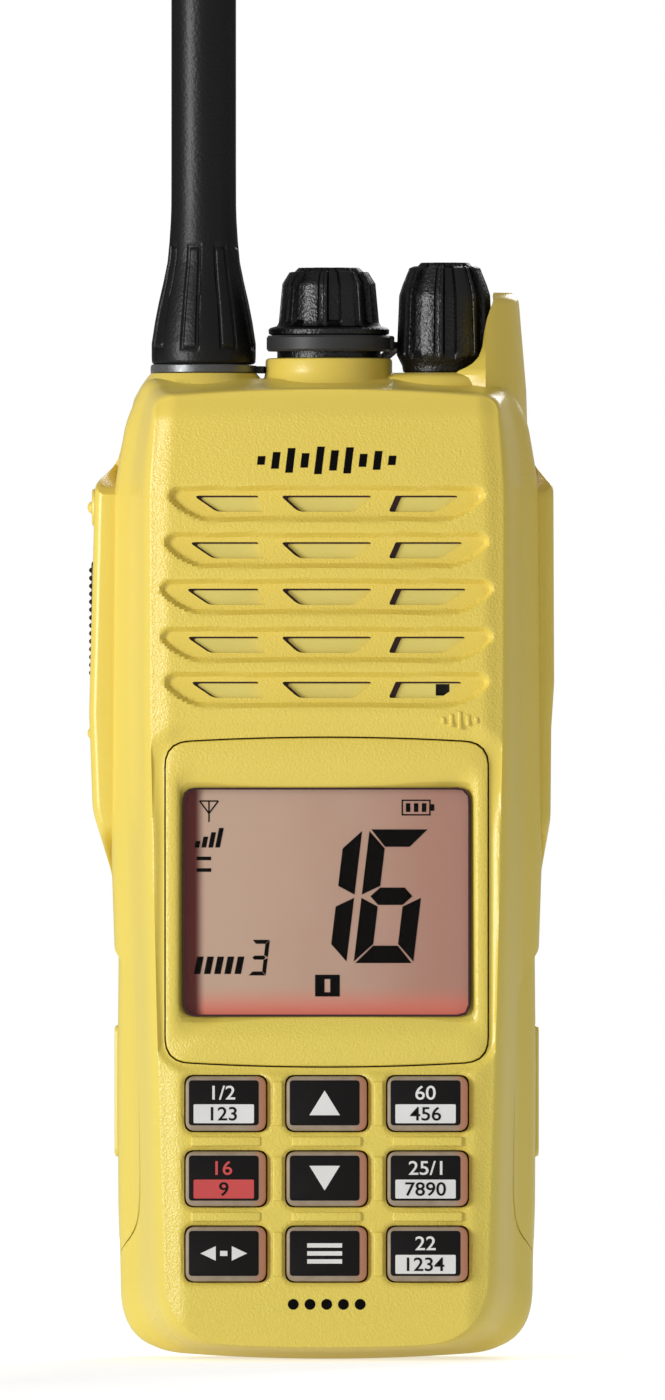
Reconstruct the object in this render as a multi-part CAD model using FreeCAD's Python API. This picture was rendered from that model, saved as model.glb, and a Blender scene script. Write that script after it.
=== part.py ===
"""Handheld marine VHF radio, in millimetres.

The origin is the centre of the flat base. +Z points up to the antenna, the display and keys face -Y,
the battery pack and belt clip are on the +Y side, and the push-to-talk button is on the -X side.
Each node is one separate piece, written to parts/NODE.step.
"""

import FreeCAD, Part

import math
import os

Vector = FreeCAD.Vector

# Overall case
BODY_TOP = 134.0
DECK_LOW_Z = 131.8
FACE_Y = -18.0
SIDE_FRONT_Y = -9.0
FRONT_BACK_Y = 5.5
REAR_FRONT_Y = 6.5
REAR_PLATE_Y = 9.0
REAR_BACK_Y = 14.0
FACE_INNER_Y = -15.5
CORNER_RADIUS = 8.5
SIDE_PROFILE = ((28.4, 0.0), (29.0, 52.0), (29.8, 66.0), (29.8, 121.0), (24.5, 132.0), (23.5, BODY_TOP))
FACE_PROFILE = ((21.9, 1.6), (23.4, 52.0), (23.8, 66.0), (24.2, 121.0), (23.2, 130.4), (21.4, 132.0))
CAVITY_HALF = 22.0
CAVITY_LOW, CAVITY_HIGH = 2.4, 131.4
DEEP_CAVITY_HALF, DEEP_CAVITY_LOW, DEEP_CAVITY_HIGH = 21.2, 4.5, 128.5
SIDE_CAVITY_X, SIDE_CAVITY_Y, SIDE_CAVITY_Z = 27.3, (-7.0, 4.4), (68.0, 119.0)
DECK_HALF, DECK_BACK_Y = 23.5, 10.2
GASKET_HALF, GASKET_LOW, GASKET_HIGH, GASKET_WIDTH = 24.4, 3.2, 117.4, 2.0

# Rear shell and its side bulges
BULGE_INNER, BULGE_OUTER = 29.95, 32.6
BULGE_FRONT_Y, BULGE_BACK_Y = -4.0, 12.0
BULGE_LOW, BULGE_HIGH = 65.0, 121.5
REAR_BLOCK_LOW, REAR_BLOCK_HIGH = 63.0, 131.5
REAR_HALF, REAR_SHOULDER_Z, REAR_TOP_HALF = 29.6, 121.0, 24.0
REAR_PLATE_HALF, REAR_PLATE_LOW = 26.4, 3.0
REAR_WALL, REAR_HOLLOW_Z = 2.4, (68.0, 118.0)
BRIDGE_X = 28.0
EYELET_X, EYELET_Y, EYELET_Z = 16.0, 17.2, 124.5
EYELET_BORE, EYELET_OUTER, EYELET_LENGTH = 1.7, 3.3, 5.0

# Grille, five rows of three slots over a baffle plate
GRILLE_ROWS = (116.8, 110.4, 104.0, 97.4, 91.2)
GRILLE_SLOT_HEIGHT = 2.1
GRILLE_CENTRE_HALF = 5.4
GRILLE_SIDE_INNER, GRILLE_SIDE_OUTER = 9.0, 19.0
BAFFLE_FRONT_Y, BAFFLE_BACK_Y, BAFFLE_GAP = -15.9, -15.0, 0.1
BAFFLE_SIZE, BAFFLE_CENTRE_Z = (40.8, 31.0), 104.0
SPEAKER_Z, SPEAKER_RADIUS = 104.0, 16.3
SPEAKER_FRONT_Y, SPEAKER_BACK_Y, SPEAKER_WALL = -14.3, -8.0, 1.2
MAGNET_RADIUS, MAGNET_BACK_Y = 9.0, -5.2
CONE_DEPTH, CONE_CAP_RADIUS, CONE_THICKNESS = 3.2, 5.0, 0.5
MIC_X, MIC_Z, MIC_RADIUS, MIC_DEPTH = 15.9, 91.3, 2.8, 2.6

# Display
BEZEL_CENTRE_Z, BEZEL_SIZE = 62.0, (44.6, 43.8)
BEZEL_FRONT_Y, BEZEL_LEDGE_Y, BEZEL_BACK_Y = -18.2, -16.7, -14.2
BEZEL_THROAT = (42.0, 39.8)
WINDOW_SIZE, WINDOW_RADIUS = (39.5, 31.5), 1.7
LENS_SIZE, LENS_FRONT_Y, LENS_BACK_Y = (41.0, 33.0), -16.4, -15.2
LCD_SIZE, LCD_FRONT_Y, LCD_BACK_Y = (38.0, 32.4), -15.1, -13.5
BACKLIGHT_BACK_Y = -11.0
BOARD_FRONT_Y, BOARD_BACK_Y = -10.2, -8.8

# Keypad, three by three
KEY_COLUMNS = (-13.87, 0.0, 13.87)
KEY_ROWS = (34.3, 23.95, 13.6)
KEY_SIZE, KEY_RADIUS = (11.07, 7.5), 1.4
KEY_GAP = 0.22
KEY_FRONT_Y = -18.9
KEY_FLANGE_Y, KEY_FLANGE_THICK, KEY_FLANGE_RIM = -15.4, 0.7, 0.6
KEY_STEM_SIZE, KEY_STEM_END_Y = (8.6, 5.2), -11.7
MAT_FRONT_Y, MAT_BACK_Y = -13.9, -12.9
DOME_SHEET_FRONT_Y, DOME_HEIGHT, DOME_RADIUS = -10.5, 0.35, 2.4

# Inside the body
MAIN_BOARD_Y = (-4.0, -2.4)
CHASSIS_Y = (-2.4, 1.2)
BOARD_HALF, BOARD_LOW, BOARD_HIGH, CONTROL_BOARD_HIGH = 20.8, 6.0, 117.0, 85.0
BOARD_SCREW_X, BOARD_SCREW_ZS = 18.6, (9.0, 114.0)
CAN_FRONT_Y, CAN_HALF, CAN_RADIUS = -7.6, 16.0, 1.0
TERMINAL_X, TERMINAL_Z, TERMINAL_RADIUS = (-6.0, 0.0, 6.0), 52.0, 1.0
CASE_SCREWS = ((24.6, 7.0), (25.0, 124.5))
SCREW_RADIUS, SCREW_HEAD_RADIUS, SCREW_HEAD_HEIGHT = 1.1, 2.1, 1.5
SCREW_CLEARANCE, SCREW_TIP_Y, PILOT_END_Y = 0.06, -5.0, -6.0

# Top controls, all on one line across the width
TOP_Y = 1.0
ANTENNA_X, ANTENNA_SEAT_Z, WASHER_TOP_Z = -17.0, 134.9, 136.1
WHIP_BOTTOM_Z, WHIP_TOP_Z = 136.15, 284.0
WHIP_PROFILE = ((7.2, 139.0), (6.74, 142.0), (6.19, 144.8), (5.57, 147.5), (5.0, 150.3), (4.47, 158.5))
STUD_RADIUS, STUD_TOP_Z, SOCKET_OUTER, SEAT_RADIUS = 3.0, 143.0, 4.6, 7.4
COIL_LOW, COIL_HIGH, COIL_RADIUS, COIL_PITCH, WIRE_RADIUS = 147.0, 270.0, 2.0, 12.0, 0.45
WASHER_RADIUS, STRAP_THICK, STRAP_WIDTH = 7.1, 1.0, 1.6
SCREW_TRAVEL = 3.6
CAP_X, COLLAR_RADIUS, COLLAR_TOP_Z, COLLAR_BORE = 0.3, 8.75, 137.0, 6.6
CAP_RING = (7.35, 8.7, 137.95, 140.15)
CAP_FLANGE_Z, CAP_GRIP_Z, CAP_TOP_Z = 140.2, 141.3, 149.5
CAP_FLANGE_RADIUS, CAP_GRIP_RADIUS = 8.4, 6.95
PLUG_RADIUS, JACK_RADIUS, JACK_LOW_Z, JACK_TOP_Z = 6.5, 4.5, 121.0, 132.6
CAP_SEAL_INNER, CAP_SEAL_Z = 5.4, (134.3, 135.5)
KNOB_X, KNOB_BOTTOM_Z, KNOB_TOP_Z = 16.3, 135.0, 150.2
KNOB_RADIUS, KNOB_NECK_RADIUS = 6.65, 5.7
SHAFT_RADIUS, BUSHING_RADIUS = 2.0, 3.4
GRIP_LOBES, LOBE_DEPTH, FLUTE_RADIUS = 8, 0.55, 1.6
HORN_INNER, HORN_OUTER, HORN_TOP_Z = 7.4, 10.9, 146.0
HORN_FRONT_ANGLE = 46.0

# Left side keys, which slide towards +X
PTT_Z, PTT_Y = (92.6, 109.0), (-1.0, 7.0)
SIDE_KEY_ZS, SIDE_KEY_Y, SIDE_KEY_RADIUS = (116.4, 85.2), 3.0, 2.6
SIDE_CAP_INNER_X, STEM_END_X = -30.9, -26.1
PTT_OUTER_X, PTT_RIB_PITCH, PTT_RIB_COUNT = -32.9, 1.09, 15
PTT_STEM_Y, PTT_STEM_Z, SIDE_STEM_RADIUS, STEM_GAP = (1.6, 4.4), (97.3, 104.3), 1.3, 0.3
SIDE_WALL_X = (-31.0, -26.9)
SIDE_BOARD_X = (-24.8, -23.8)

# Battery pack and its latches
PACK_LOW, PACK_HIGH, PACK_HALF = 0.2, 62.4, 28.3
PACK_FRONT_Y, PACK_BACK_Y, PACK_WALL = 5.7, 20.0, 1.6
PACK_INNER_HALF = 26.8
WING_OUTER = 28.9
WING_LOW, WING_HIGH, WING_TIP_Y = 12.5, 56.4, -4.0
LATCH_Z, LATCH_Y, LATCH_X = (26.7, 44.9), (-0.4, 5.0), (26.3, 29.3)
LATCH_TRAVEL, LATCH_POCKET_X = 1.0, 25.0
WING_GAP, POCKET_OUTER_X = 0.4, 31.0
COVER_HALF, COVER_BACK_Y, CELL_Y, CELL_Z = 26.6, 10.8, (11.0, 18.2), (4.0, 57.0)
CONTACT_SIZE, CONTACT_BACK_Y = (4.0, 6.0), 10.0
SPRING_BOW, SPRING_THICK = 0.65, 0.25

# Belt clip
CLIP_PIN_Y, CLIP_PIN_Z, CLIP_PIN_RADIUS = 19.4, 110.0, 1.0
CLIP_EAR_X = (8.2, 10.4)
CLIP_LOW_Z, CLIP_HIGH_Z = 66.0, 119.5
CLIP_WIDTH, CLIP_THICK, CLIP_STANDOFF, CLIP_PLATE = 20.0, 1.8, 2.1, 1.6
CLIP_EAR_RADIUS, CLIP_HUB_RADIUS, CLIP_HUB_INNER_X = 2.6, 2.4, 4.4
CLIP_SCREW_X, CLIP_SCREW_Z = 5.5, 101.0
CLIP_COIL_XS = (-4.0, -2.8, -1.6, -0.4, 0.8, 2.0, 3.2)


def box(x0, x1, y0, y1, z0, z1):
    """A block between two corners."""
    return Part.makeBox(x1 - x0, y1 - y0, z1 - z0, Vector(x0, y0, z0))


def plate(size, centre_x, centre_z, y0, y1, radius=0.0):
    """A rounded rectangle in the XZ plane, as thick as y0 to y1."""
    width, height = size
    block = box(centre_x - width / 2, centre_x + width / 2, y0, y1,
                centre_z - height / 2, centre_z + height / 2)
    return rounded_along(block, "y", radius) if radius else block


def rounded_along(solid, axis, radius):
    """The solid with every straight edge that runs along one axis rounded."""
    direction = {"x": Vector(1, 0, 0), "y": Vector(0, 1, 0), "z": Vector(0, 0, 1)}[axis]
    edges = [e for e in solid.Edges if abs(e.tangentAt(e.FirstParameter).dot(direction)) > 0.999]
    return solid.makeFillet(radius, edges)


def rod_z(x, radius, z0, z1, y=TOP_Y):
    return Part.makeCylinder(radius, z1 - z0, Vector(x, y, z0))


def rod_y(x, z, radius, y0, y1):
    return Part.makeCylinder(radius, y1 - y0, Vector(x, y0, z), Vector(0, 1, 0))


def rod_x(y, z, radius, x0, x1):
    return Part.makeCylinder(radius, x1 - x0, Vector(x0, y, z), Vector(1, 0, 0))


def tube_z(x, inner, outer, z0, z1, y=TOP_Y):
    return rod_z(x, outer, z0, z1, y).cut(rod_z(x, inner, z0 - 1, z1 + 1, y))


def ring_y(x, z, inner, outer, y0, y1):
    return rod_y(x, z, outer, y0, y1).cut(rod_y(x, z, inner, y0 - 1, y1 + 1))


def prism_xz(points, y0, y1):
    """A polygon in the XZ plane, as thick as y0 to y1."""
    corners = [Vector(x, y0, z) for x, z in points]
    return Part.Face(Part.makePolygon(corners + corners[:1])).extrude(Vector(0, y1 - y0, 0))


def turned(x, profile):
    """A solid turned about a vertical axis from (radius, z) points, as a stack of cones and cylinders."""
    stages = []
    for (r0, z0), (r1, z1) in zip(profile, profile[1:]):
        foot, height = Vector(x, TOP_Y, z0), z1 - z0
        straight = r0 == r1
        stages.append(Part.makeCylinder(r0, height, foot) if straight else Part.makeCone(r0, r1, height, foot))
    return stages[0].fuse(stages[1:]) if len(stages) > 1 else stages[0]


def mirrored(shape):
    return shape.mirror(Vector(0, 0, 0), Vector(1, 0, 0))


def both_sides(shape):
    return shape.fuse(mirrored(shape))


def save(node, shape):
    shape.exportStep(os.path.join("parts", node + ".step"))


# Case


def case_section(profile, y):
    """The closed outline of the case at one depth, with round bottom corners."""
    half, low = profile[0]
    slope = (profile[1][0] - half) / (profile[1][1] - low)
    bite = CORNER_RADIUS * (1 - math.sqrt(0.5))
    right = [Vector(half + slope * CORNER_RADIUS, y, low + CORNER_RADIUS)]
    right += [Vector(x, y, z) for x, z in profile[1:]]
    left = [Vector(-p.x, p.y, p.z) for p in reversed(right)]
    chain = right + left
    edges = [Part.makeLine(a, b) for a, b in zip(chain, chain[1:])]
    left_foot, right_foot = Vector(CORNER_RADIUS - half, y, low), Vector(half - CORNER_RADIUS, y, low)
    edges.append(Part.Arc(left[-1], Vector(bite - half, y, low + bite), left_foot).toShape())
    edges.append(Part.makeLine(left_foot, right_foot))
    edges.append(Part.Arc(right_foot, Vector(half - bite, y, low + bite), right[0]).toShape())
    return Part.Wire(edges)


def front_block():
    """The solid front half before it is hollowed: straight sides, then a face that tapers forward."""
    back = case_section(SIDE_PROFILE, SIDE_FRONT_Y)
    straight = Part.Face(back).extrude(Vector(0, FRONT_BACK_Y - SIDE_FRONT_Y, 0))
    taper = Part.makeLoft([case_section(FACE_PROFILE, FACE_Y), back], True, True)
    return straight.fuse(taper)


def wing_prism(x0, x1, grow=0.0):
    """The crescent that reaches forward over the case's side, on the +X side."""
    low = Vector(x0, PACK_FRONT_Y + grow, WING_LOW - grow)
    high = Vector(x0, PACK_FRONT_Y + grow, WING_HIGH + grow)
    tip = Vector(x0, WING_TIP_Y - grow, (WING_LOW + WING_HIGH) / 2)
    outline = Part.Wire([Part.Arc(low, tip, high).toShape(), Part.makeLine(high, low)])
    return Part.Face(outline).extrude(Vector(x1 - x0, 0, 0))


def side_pockets():
    """What the battery wings and latches take out of the front shell's sides."""
    wing = wing_prism(PACK_INNER_HALF - 0.25, POCKET_OUTER_X, WING_GAP)
    latch = box(LATCH_POCKET_X, PACK_INNER_HALF + 0.2, LATCH_Y[0] - 1.4, FRONT_BACK_Y + 1,
                LATCH_Z[0] - 2, LATCH_Z[1] + 2)
    return both_sides(wing.fuse(latch))


def side_cavities():
    """Hollows beside the main cavity that keep the side walls even in thickness."""
    return both_sides(box(CAVITY_HALF - 1, SIDE_CAVITY_X, *SIDE_CAVITY_Y, *SIDE_CAVITY_Z))


def display_hole():
    step = plate(BEZEL_SIZE, 0, BEZEL_CENTRE_Z, FACE_Y - 1, BEZEL_LEDGE_Y, 3.2)
    throat = plate(BEZEL_THROAT, 0, BEZEL_CENTRE_Z, FACE_Y - 1, FACE_INNER_Y + 1, 2.4)
    return step.fuse(throat)


def grille_slots():
    slots = []
    for z in GRILLE_ROWS:
        slots.append(plate((2 * GRILLE_CENTRE_HALF, GRILLE_SLOT_HEIGHT), 0, z, FACE_Y - 1, FACE_INNER_Y + 1))
        side = box(GRILLE_SIDE_INNER, GRILLE_SIDE_OUTER, FACE_Y - 1, FACE_INNER_Y + 1,
                   z - GRILLE_SLOT_HEIGHT / 2, z + GRILLE_SLOT_HEIGHT / 2)
        slots.append(both_sides(side))
    return Part.makeCompound(slots)


def baffle_pocket():
    """The thinner wall behind the grille, where the baffle plate lies."""
    size = (BAFFLE_SIZE[0] + 2 * BAFFLE_GAP, BAFFLE_SIZE[1] + 2 * BAFFLE_GAP)
    return plate(size, 0, BAFFLE_CENTRE_Z, BAFFLE_FRONT_Y - BAFFLE_GAP / 2, FACE_INNER_Y + 1, 2.0)


def key_centres():
    return [(x, z) for z in KEY_ROWS for x in KEY_COLUMNS]


def key_holes():
    size = (KEY_SIZE[0] + 2 * KEY_GAP, KEY_SIZE[1] + 2 * KEY_GAP)
    holes = [plate(size, x, z, FACE_Y - 1, FACE_INNER_Y + 1, KEY_RADIUS + KEY_GAP) for x, z in key_centres()]
    return Part.makeCompound(holes)


def horn():
    """The guard round the knob's right side: part of a ring that narrows towards its top."""
    sector = tube_z(KNOB_X, HORN_INNER, HORN_OUTER, DECK_LOW_Z, HORN_TOP_Z)
    reach = HORN_OUTER * math.sin(math.radians(HORN_FRONT_ANGLE))
    left = KNOB_X + HORN_INNER * math.cos(math.radians(HORN_FRONT_ANGLE))
    fin = [Vector(left, TOP_Y - reach, DECK_LOW_Z), Vector(left, TOP_Y - reach, BODY_TOP + 3),
           Vector(left, TOP_Y - reach / 3, HORN_TOP_Z), Vector(left, TOP_Y + reach / 3, HORN_TOP_Z),
           Vector(left, TOP_Y + reach, BODY_TOP + 3), Vector(left, TOP_Y + reach, DECK_LOW_Z)]
    fin = Part.Face(Part.makePolygon(fin + fin[:1])).extrude(Vector(HORN_OUTER, 0, 0))
    return sector.common(fin)


def top_deck():
    """The roof behind the face, with the antenna seat, the jack collar and the knob guard."""
    seat = rod_z(ANTENNA_X, SEAT_RADIUS, DECK_LOW_Z, ANTENNA_SEAT_Z)
    collar = rod_z(CAP_X, COLLAR_RADIUS, DECK_LOW_Z, COLLAR_TOP_Z)
    slab = box(-DECK_HALF, DECK_HALF, FRONT_BACK_Y - 3, DECK_BACK_Y, DECK_LOW_Z, BODY_TOP)
    return seat.fuse([collar, horn(), slab])


def top_holes():
    below = CAVITY_HIGH - 10
    holes = [rod_z(ANTENNA_X, SOCKET_OUTER + 0.05, below, BODY_TOP + 9)]
    holes.append(rod_z(CAP_X, COLLAR_BORE, JACK_TOP_Z - 0.6, COLLAR_TOP_Z + 1))
    holes.append(rod_z(CAP_X, JACK_RADIUS + 0.05, below, COLLAR_TOP_Z))
    holes.append(rod_z(KNOB_X, BUSHING_RADIUS + 0.05, below, BODY_TOP + 1))
    return Part.makeCompound(holes)


def side_button_holes(x0, x1, gap):
    """Openings for the push-to-talk cap or stem and the two round side keys."""
    cut = [box(x0, x1, PTT_Y[0] - gap, PTT_Y[1] + gap, PTT_Z[0] - gap, PTT_Z[1] + gap)]
    cut += [rod_x(SIDE_KEY_Y, z, SIDE_KEY_RADIUS + gap, x0, x1) for z in SIDE_KEY_ZS]
    return Part.makeCompound(cut)


def side_stem_holes():
    """Smaller openings through the front shell's left wall for the button stems."""
    cut = [box(*SIDE_WALL_X, PTT_STEM_Y[0] - STEM_GAP, PTT_STEM_Y[1] + STEM_GAP,
               PTT_STEM_Z[0] - STEM_GAP, PTT_STEM_Z[1] + STEM_GAP)]
    cut += [rod_x(SIDE_KEY_Y, z, SIDE_STEM_RADIUS + STEM_GAP, *SIDE_WALL_X) for z in SIDE_KEY_ZS]
    return Part.makeCompound(cut)


def case_screw_places():
    return [(sign * x, z) for x, z in CASE_SCREWS for sign in (-1, 1)]


def front_shell():
    shell = front_block().fuse(top_deck())
    main_hollow = box(-CAVITY_HALF, CAVITY_HALF, SIDE_FRONT_Y - 0.5, FRONT_BACK_Y + 1, CAVITY_LOW, CAVITY_HIGH)
    face_hollow = box(-DEEP_CAVITY_HALF, DEEP_CAVITY_HALF, FACE_INNER_Y, SIDE_FRONT_Y,
                      DEEP_CAVITY_LOW, DEEP_CAVITY_HIGH)
    pilot_holes = [rod_y(x, z, SCREW_RADIUS + SCREW_CLEARANCE, PILOT_END_Y, FRONT_BACK_Y + 1)
                   for x, z in case_screw_places()]
    cuts = [main_hollow, face_hollow, side_cavities(), side_pockets(), display_hole(), grille_slots()]
    cuts += [baffle_pocket(), key_holes(), top_holes(), side_stem_holes()] + pilot_holes
    return shell.cut(cuts).removeSplitter()


def rear_shell():
    block = prism_xz(((-REAR_HALF, REAR_BLOCK_LOW), (REAR_HALF, REAR_BLOCK_LOW), (REAR_HALF, REAR_SHOULDER_Z),
                      (REAR_TOP_HALF, REAR_BLOCK_HIGH), (-REAR_TOP_HALF, REAR_BLOCK_HIGH),
                      (-REAR_HALF, REAR_SHOULDER_Z)), REAR_FRONT_Y, REAR_BACK_Y)
    lower = box(-REAR_PLATE_HALF, REAR_PLATE_HALF, REAR_FRONT_Y, REAR_PLATE_Y,
                REAR_PLATE_LOW, REAR_BLOCK_LOW + 1)
    bulge = prism_xz(((BULGE_INNER, BULGE_LOW), (BULGE_OUTER, BULGE_LOW + 6), (BULGE_OUTER, BULGE_HIGH - 4),
                      (BULGE_INNER, BULGE_HIGH)), BULGE_FRONT_Y, BULGE_BACK_Y)
    bridge = box(BRIDGE_X, BULGE_INNER + 0.5, REAR_FRONT_Y, BULGE_BACK_Y, BULGE_LOW + 3, BULGE_HIGH - 3)
    eyelet = rod_x(EYELET_Y, EYELET_Z, EYELET_OUTER, EYELET_X, EYELET_X + EYELET_LENGTH)
    foot = box(EYELET_X, EYELET_X + EYELET_LENGTH, REAR_BACK_Y - 1, EYELET_Y,
               EYELET_Z - EYELET_OUTER, EYELET_Z + EYELET_OUTER)
    shell = block.fuse([lower, both_sides(bulge), both_sides(bridge), eyelet, foot])
    cuts = [box(-CAVITY_HALF, CAVITY_HALF, REAR_FRONT_Y - 1, REAR_BACK_Y - REAR_WALL, *REAR_HOLLOW_Z)]
    cuts.append(both_sides(box(LATCH_POCKET_X - 0.1, REAR_PLATE_HALF + 0.6, REAR_FRONT_Y - 1,
                               REAR_PLATE_Y + 0.1, LATCH_Z[0] - 3, LATCH_Z[1] + 3)))
    cuts.append(rod_x(EYELET_Y, EYELET_Z, EYELET_BORE, EYELET_X - 1, EYELET_X + EYELET_LENGTH + 1))
    cuts.append(side_button_holes(-34.0, -29.9, 0.2))
    cuts += [rod_y(x, z, SCREW_RADIUS + SCREW_CLEARANCE, 0, 20) for x, z in case_screw_places()]
    cuts += [rod_y(x, z, SCREW_HEAD_RADIUS + 0.2, case_screw_head_y(z) - SCREW_HEAD_HEIGHT, 20)
             for x, z in case_screw_places()]
    cuts += [rod_y(x, TERMINAL_Z, TERMINAL_RADIUS + 0.2, 0, 20) for x in TERMINAL_X]
    cuts += [rod_y(x, z, SCREW_RADIUS + SCREW_CLEARANCE, REAR_BACK_Y - 3, 20) for x, z in clip_screw_places()]
    return shell.cut(cuts).removeSplitter()


def case_screw_head_y(z):
    """The rear face that a case screw's head sinks level with."""
    return REAR_BACK_Y if z > REAR_BLOCK_LOW else REAR_PLATE_Y


def case_screws():
    screws = []
    for x, z in case_screw_places():
        seat = case_screw_head_y(z) - SCREW_HEAD_HEIGHT
        head = rod_y(x, z, SCREW_HEAD_RADIUS, seat, seat + SCREW_HEAD_HEIGHT - 0.1)
        socket = rod_y(x, z, 0.9, seat + 0.5, seat + SCREW_HEAD_HEIGHT)
        screws.append(head.fuse(rod_y(x, z, SCREW_RADIUS, SCREW_TIP_Y, seat)).cut(socket))
    return Part.makeCompound(screws)


def case_gasket():
    inner_half = GASKET_HALF - GASKET_WIDTH
    outer = box(-GASKET_HALF, GASKET_HALF, FRONT_BACK_Y, REAR_FRONT_Y, GASKET_LOW, GASKET_HIGH)
    inner = box(-inner_half, inner_half, FRONT_BACK_Y - 1, REAR_FRONT_Y + 1,
                GASKET_LOW + GASKET_WIDTH, GASKET_HIGH - GASKET_WIDTH)
    holes = [rod_y(x, z, SCREW_HEAD_RADIUS, 0, 10) for x, z in case_screw_places()]
    return outer.cut([inner] + holes)


def chassis():
    base = box(-BOARD_HALF, BOARD_HALF, MAIN_BOARD_Y[1], CHASSIS_Y[1], BOARD_LOW, BOARD_HIGH)
    tray = box(-BOARD_HALF + 1.5, BOARD_HALF - 1.5, CHASSIS_Y[1] - 2.0, CHASSIS_Y[1] + 1, BOARD_LOW + 1.5,
               BOARD_HIGH - 1.5)
    ribs = [box(-BOARD_HALF + 1, BOARD_HALF - 1, CHASSIS_Y[1] - 2.2, CHASSIS_Y[1], z, z + 1.4)
            for z in range(20, 110, 15) if abs(z - TERMINAL_Z) > 8]
    return base.cut(tray).fuse(ribs).cut([rod_y(x, z, SCREW_RADIUS, -9, 9) for x, z in board_screw_places()])


# Display and sound


def screen_bezel():
    margin = 0.12
    flange = plate((BEZEL_SIZE[0] - 2 * margin, BEZEL_SIZE[1] - 2 * margin), 0, BEZEL_CENTRE_Z,
                   BEZEL_FRONT_Y, BEZEL_LEDGE_Y, 3.0)
    throat = plate((BEZEL_THROAT[0] - 2 * margin, BEZEL_THROAT[1] - 2 * margin), 0, BEZEL_CENTRE_Z,
                   BEZEL_LEDGE_Y, BEZEL_BACK_Y, 2.2)
    window = plate(WINDOW_SIZE, 0, BEZEL_CENTRE_Z, BEZEL_FRONT_Y - 1, BEZEL_BACK_Y, WINDOW_RADIUS)
    lens_seat = plate(LENS_SIZE, 0, BEZEL_CENTRE_Z, LENS_FRONT_Y, BEZEL_BACK_Y + 1)
    return flange.fuse(throat).cut([window, lens_seat])


def lens():
    return plate((LENS_SIZE[0] - 0.1, LENS_SIZE[1] - 0.1), 0, BEZEL_CENTRE_Z, LENS_FRONT_Y, LENS_BACK_Y)


def lcd_panel():
    return plate(LCD_SIZE, 0, BEZEL_CENTRE_Z, LCD_FRONT_Y, LCD_BACK_Y)


def lcd_backlight():
    return plate(LCD_SIZE, 0, BEZEL_CENTRE_Z, LCD_BACK_Y, BACKLIGHT_BACK_Y)


def lcd_frame():
    """A tray behind and around the LCD and its backlight, standing on the control board."""
    rim = 1.2
    outer = plate((LCD_SIZE[0] + 2 * rim, LCD_SIZE[1] + 2 * rim), 0, BEZEL_CENTRE_Z,
                  BEZEL_BACK_Y + 0.3, BOARD_FRONT_Y)
    inside = plate((LCD_SIZE[0] + 0.2, LCD_SIZE[1] + 0.2), 0, BEZEL_CENTRE_Z,
                   BEZEL_BACK_Y - 1, BACKLIGHT_BACK_Y)
    return outer.cut(inside)


def grille_baffle():
    """The inner plate behind the grille; its sound slots sit between the grille's own slots."""
    sheet = plate(BAFFLE_SIZE, 0, BAFFLE_CENTRE_Z, BAFFLE_FRONT_Y, BAFFLE_BACK_Y, 2.0)
    middles = [(a + b) / 2 for a, b in zip(GRILLE_ROWS, GRILLE_ROWS[1:])]
    slots = [plate((12.0, 1.2), x, z, BAFFLE_FRONT_Y - 1, BAFFLE_BACK_Y + 1)
             for z in middles for x in (-7.0, 7.0)]
    return sheet.cut(slots + [rod_y(MIC_X, MIC_Z, 1.0, BAFFLE_FRONT_Y - 1, BAFFLE_BACK_Y + 1)])


def speaker_basket():
    """Round steel basket with its magnet pot behind."""
    basket = ring_y(0, SPEAKER_Z, SPEAKER_RADIUS - SPEAKER_WALL, SPEAKER_RADIUS,
                    SPEAKER_FRONT_Y, SPEAKER_BACK_Y)
    floor = rod_y(0, SPEAKER_Z, SPEAKER_RADIUS, SPEAKER_BACK_Y - 1.0, SPEAKER_BACK_Y)
    return basket.fuse([floor, rod_y(0, SPEAKER_Z, MAGNET_RADIUS, SPEAKER_BACK_Y, MAGNET_BACK_Y)])


def speaker_cone():
    """A shallow paper cone, closed at its dust cap."""
    rim, front = SPEAKER_RADIUS - SPEAKER_WALL - 0.1, Vector(0, SPEAKER_FRONT_Y + 0.5, SPEAKER_Z)
    outer = Part.makeCone(rim, CONE_CAP_RADIUS, CONE_DEPTH, front, Vector(0, 1, 0))
    inner = Part.makeCone(rim - CONE_THICKNESS, CONE_CAP_RADIUS - CONE_THICKNESS, CONE_DEPTH - 0.4, front,
                          Vector(0, 1, 0))
    return outer.cut(inner)


def microphone():
    body = rod_y(MIC_X, MIC_Z, MIC_RADIUS, BAFFLE_BACK_Y, BAFFLE_BACK_Y + MIC_DEPTH)
    return body.cut(rod_y(MIC_X, MIC_Z, 0.9, BAFFLE_BACK_Y - 1, BAFFLE_BACK_Y + 0.5))


# Keypad and boards


def key(x, z):
    """One key: a cap through the face, a flange that stops it behind the face, and a plunger."""
    cap = plate(KEY_SIZE, x, z, KEY_FRONT_Y, KEY_FLANGE_Y, KEY_RADIUS)
    front_rim = [e for e in cap.Edges if all(abs(v.Y - KEY_FRONT_Y) < 1e-6 for v in e.Vertexes)]
    cap = cap.makeChamfer(0.4, front_rim)
    flange_size = (KEY_SIZE[0] + 2 * KEY_FLANGE_RIM, KEY_SIZE[1] + 2 * KEY_FLANGE_RIM)
    flange = plate(flange_size, x, z, KEY_FLANGE_Y, KEY_FLANGE_Y + KEY_FLANGE_THICK, KEY_RADIUS)
    plunger = plate(KEY_STEM_SIZE, x, z, KEY_FLANGE_Y, KEY_STEM_END_Y)
    return cap.fuse([flange, plunger])


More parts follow.
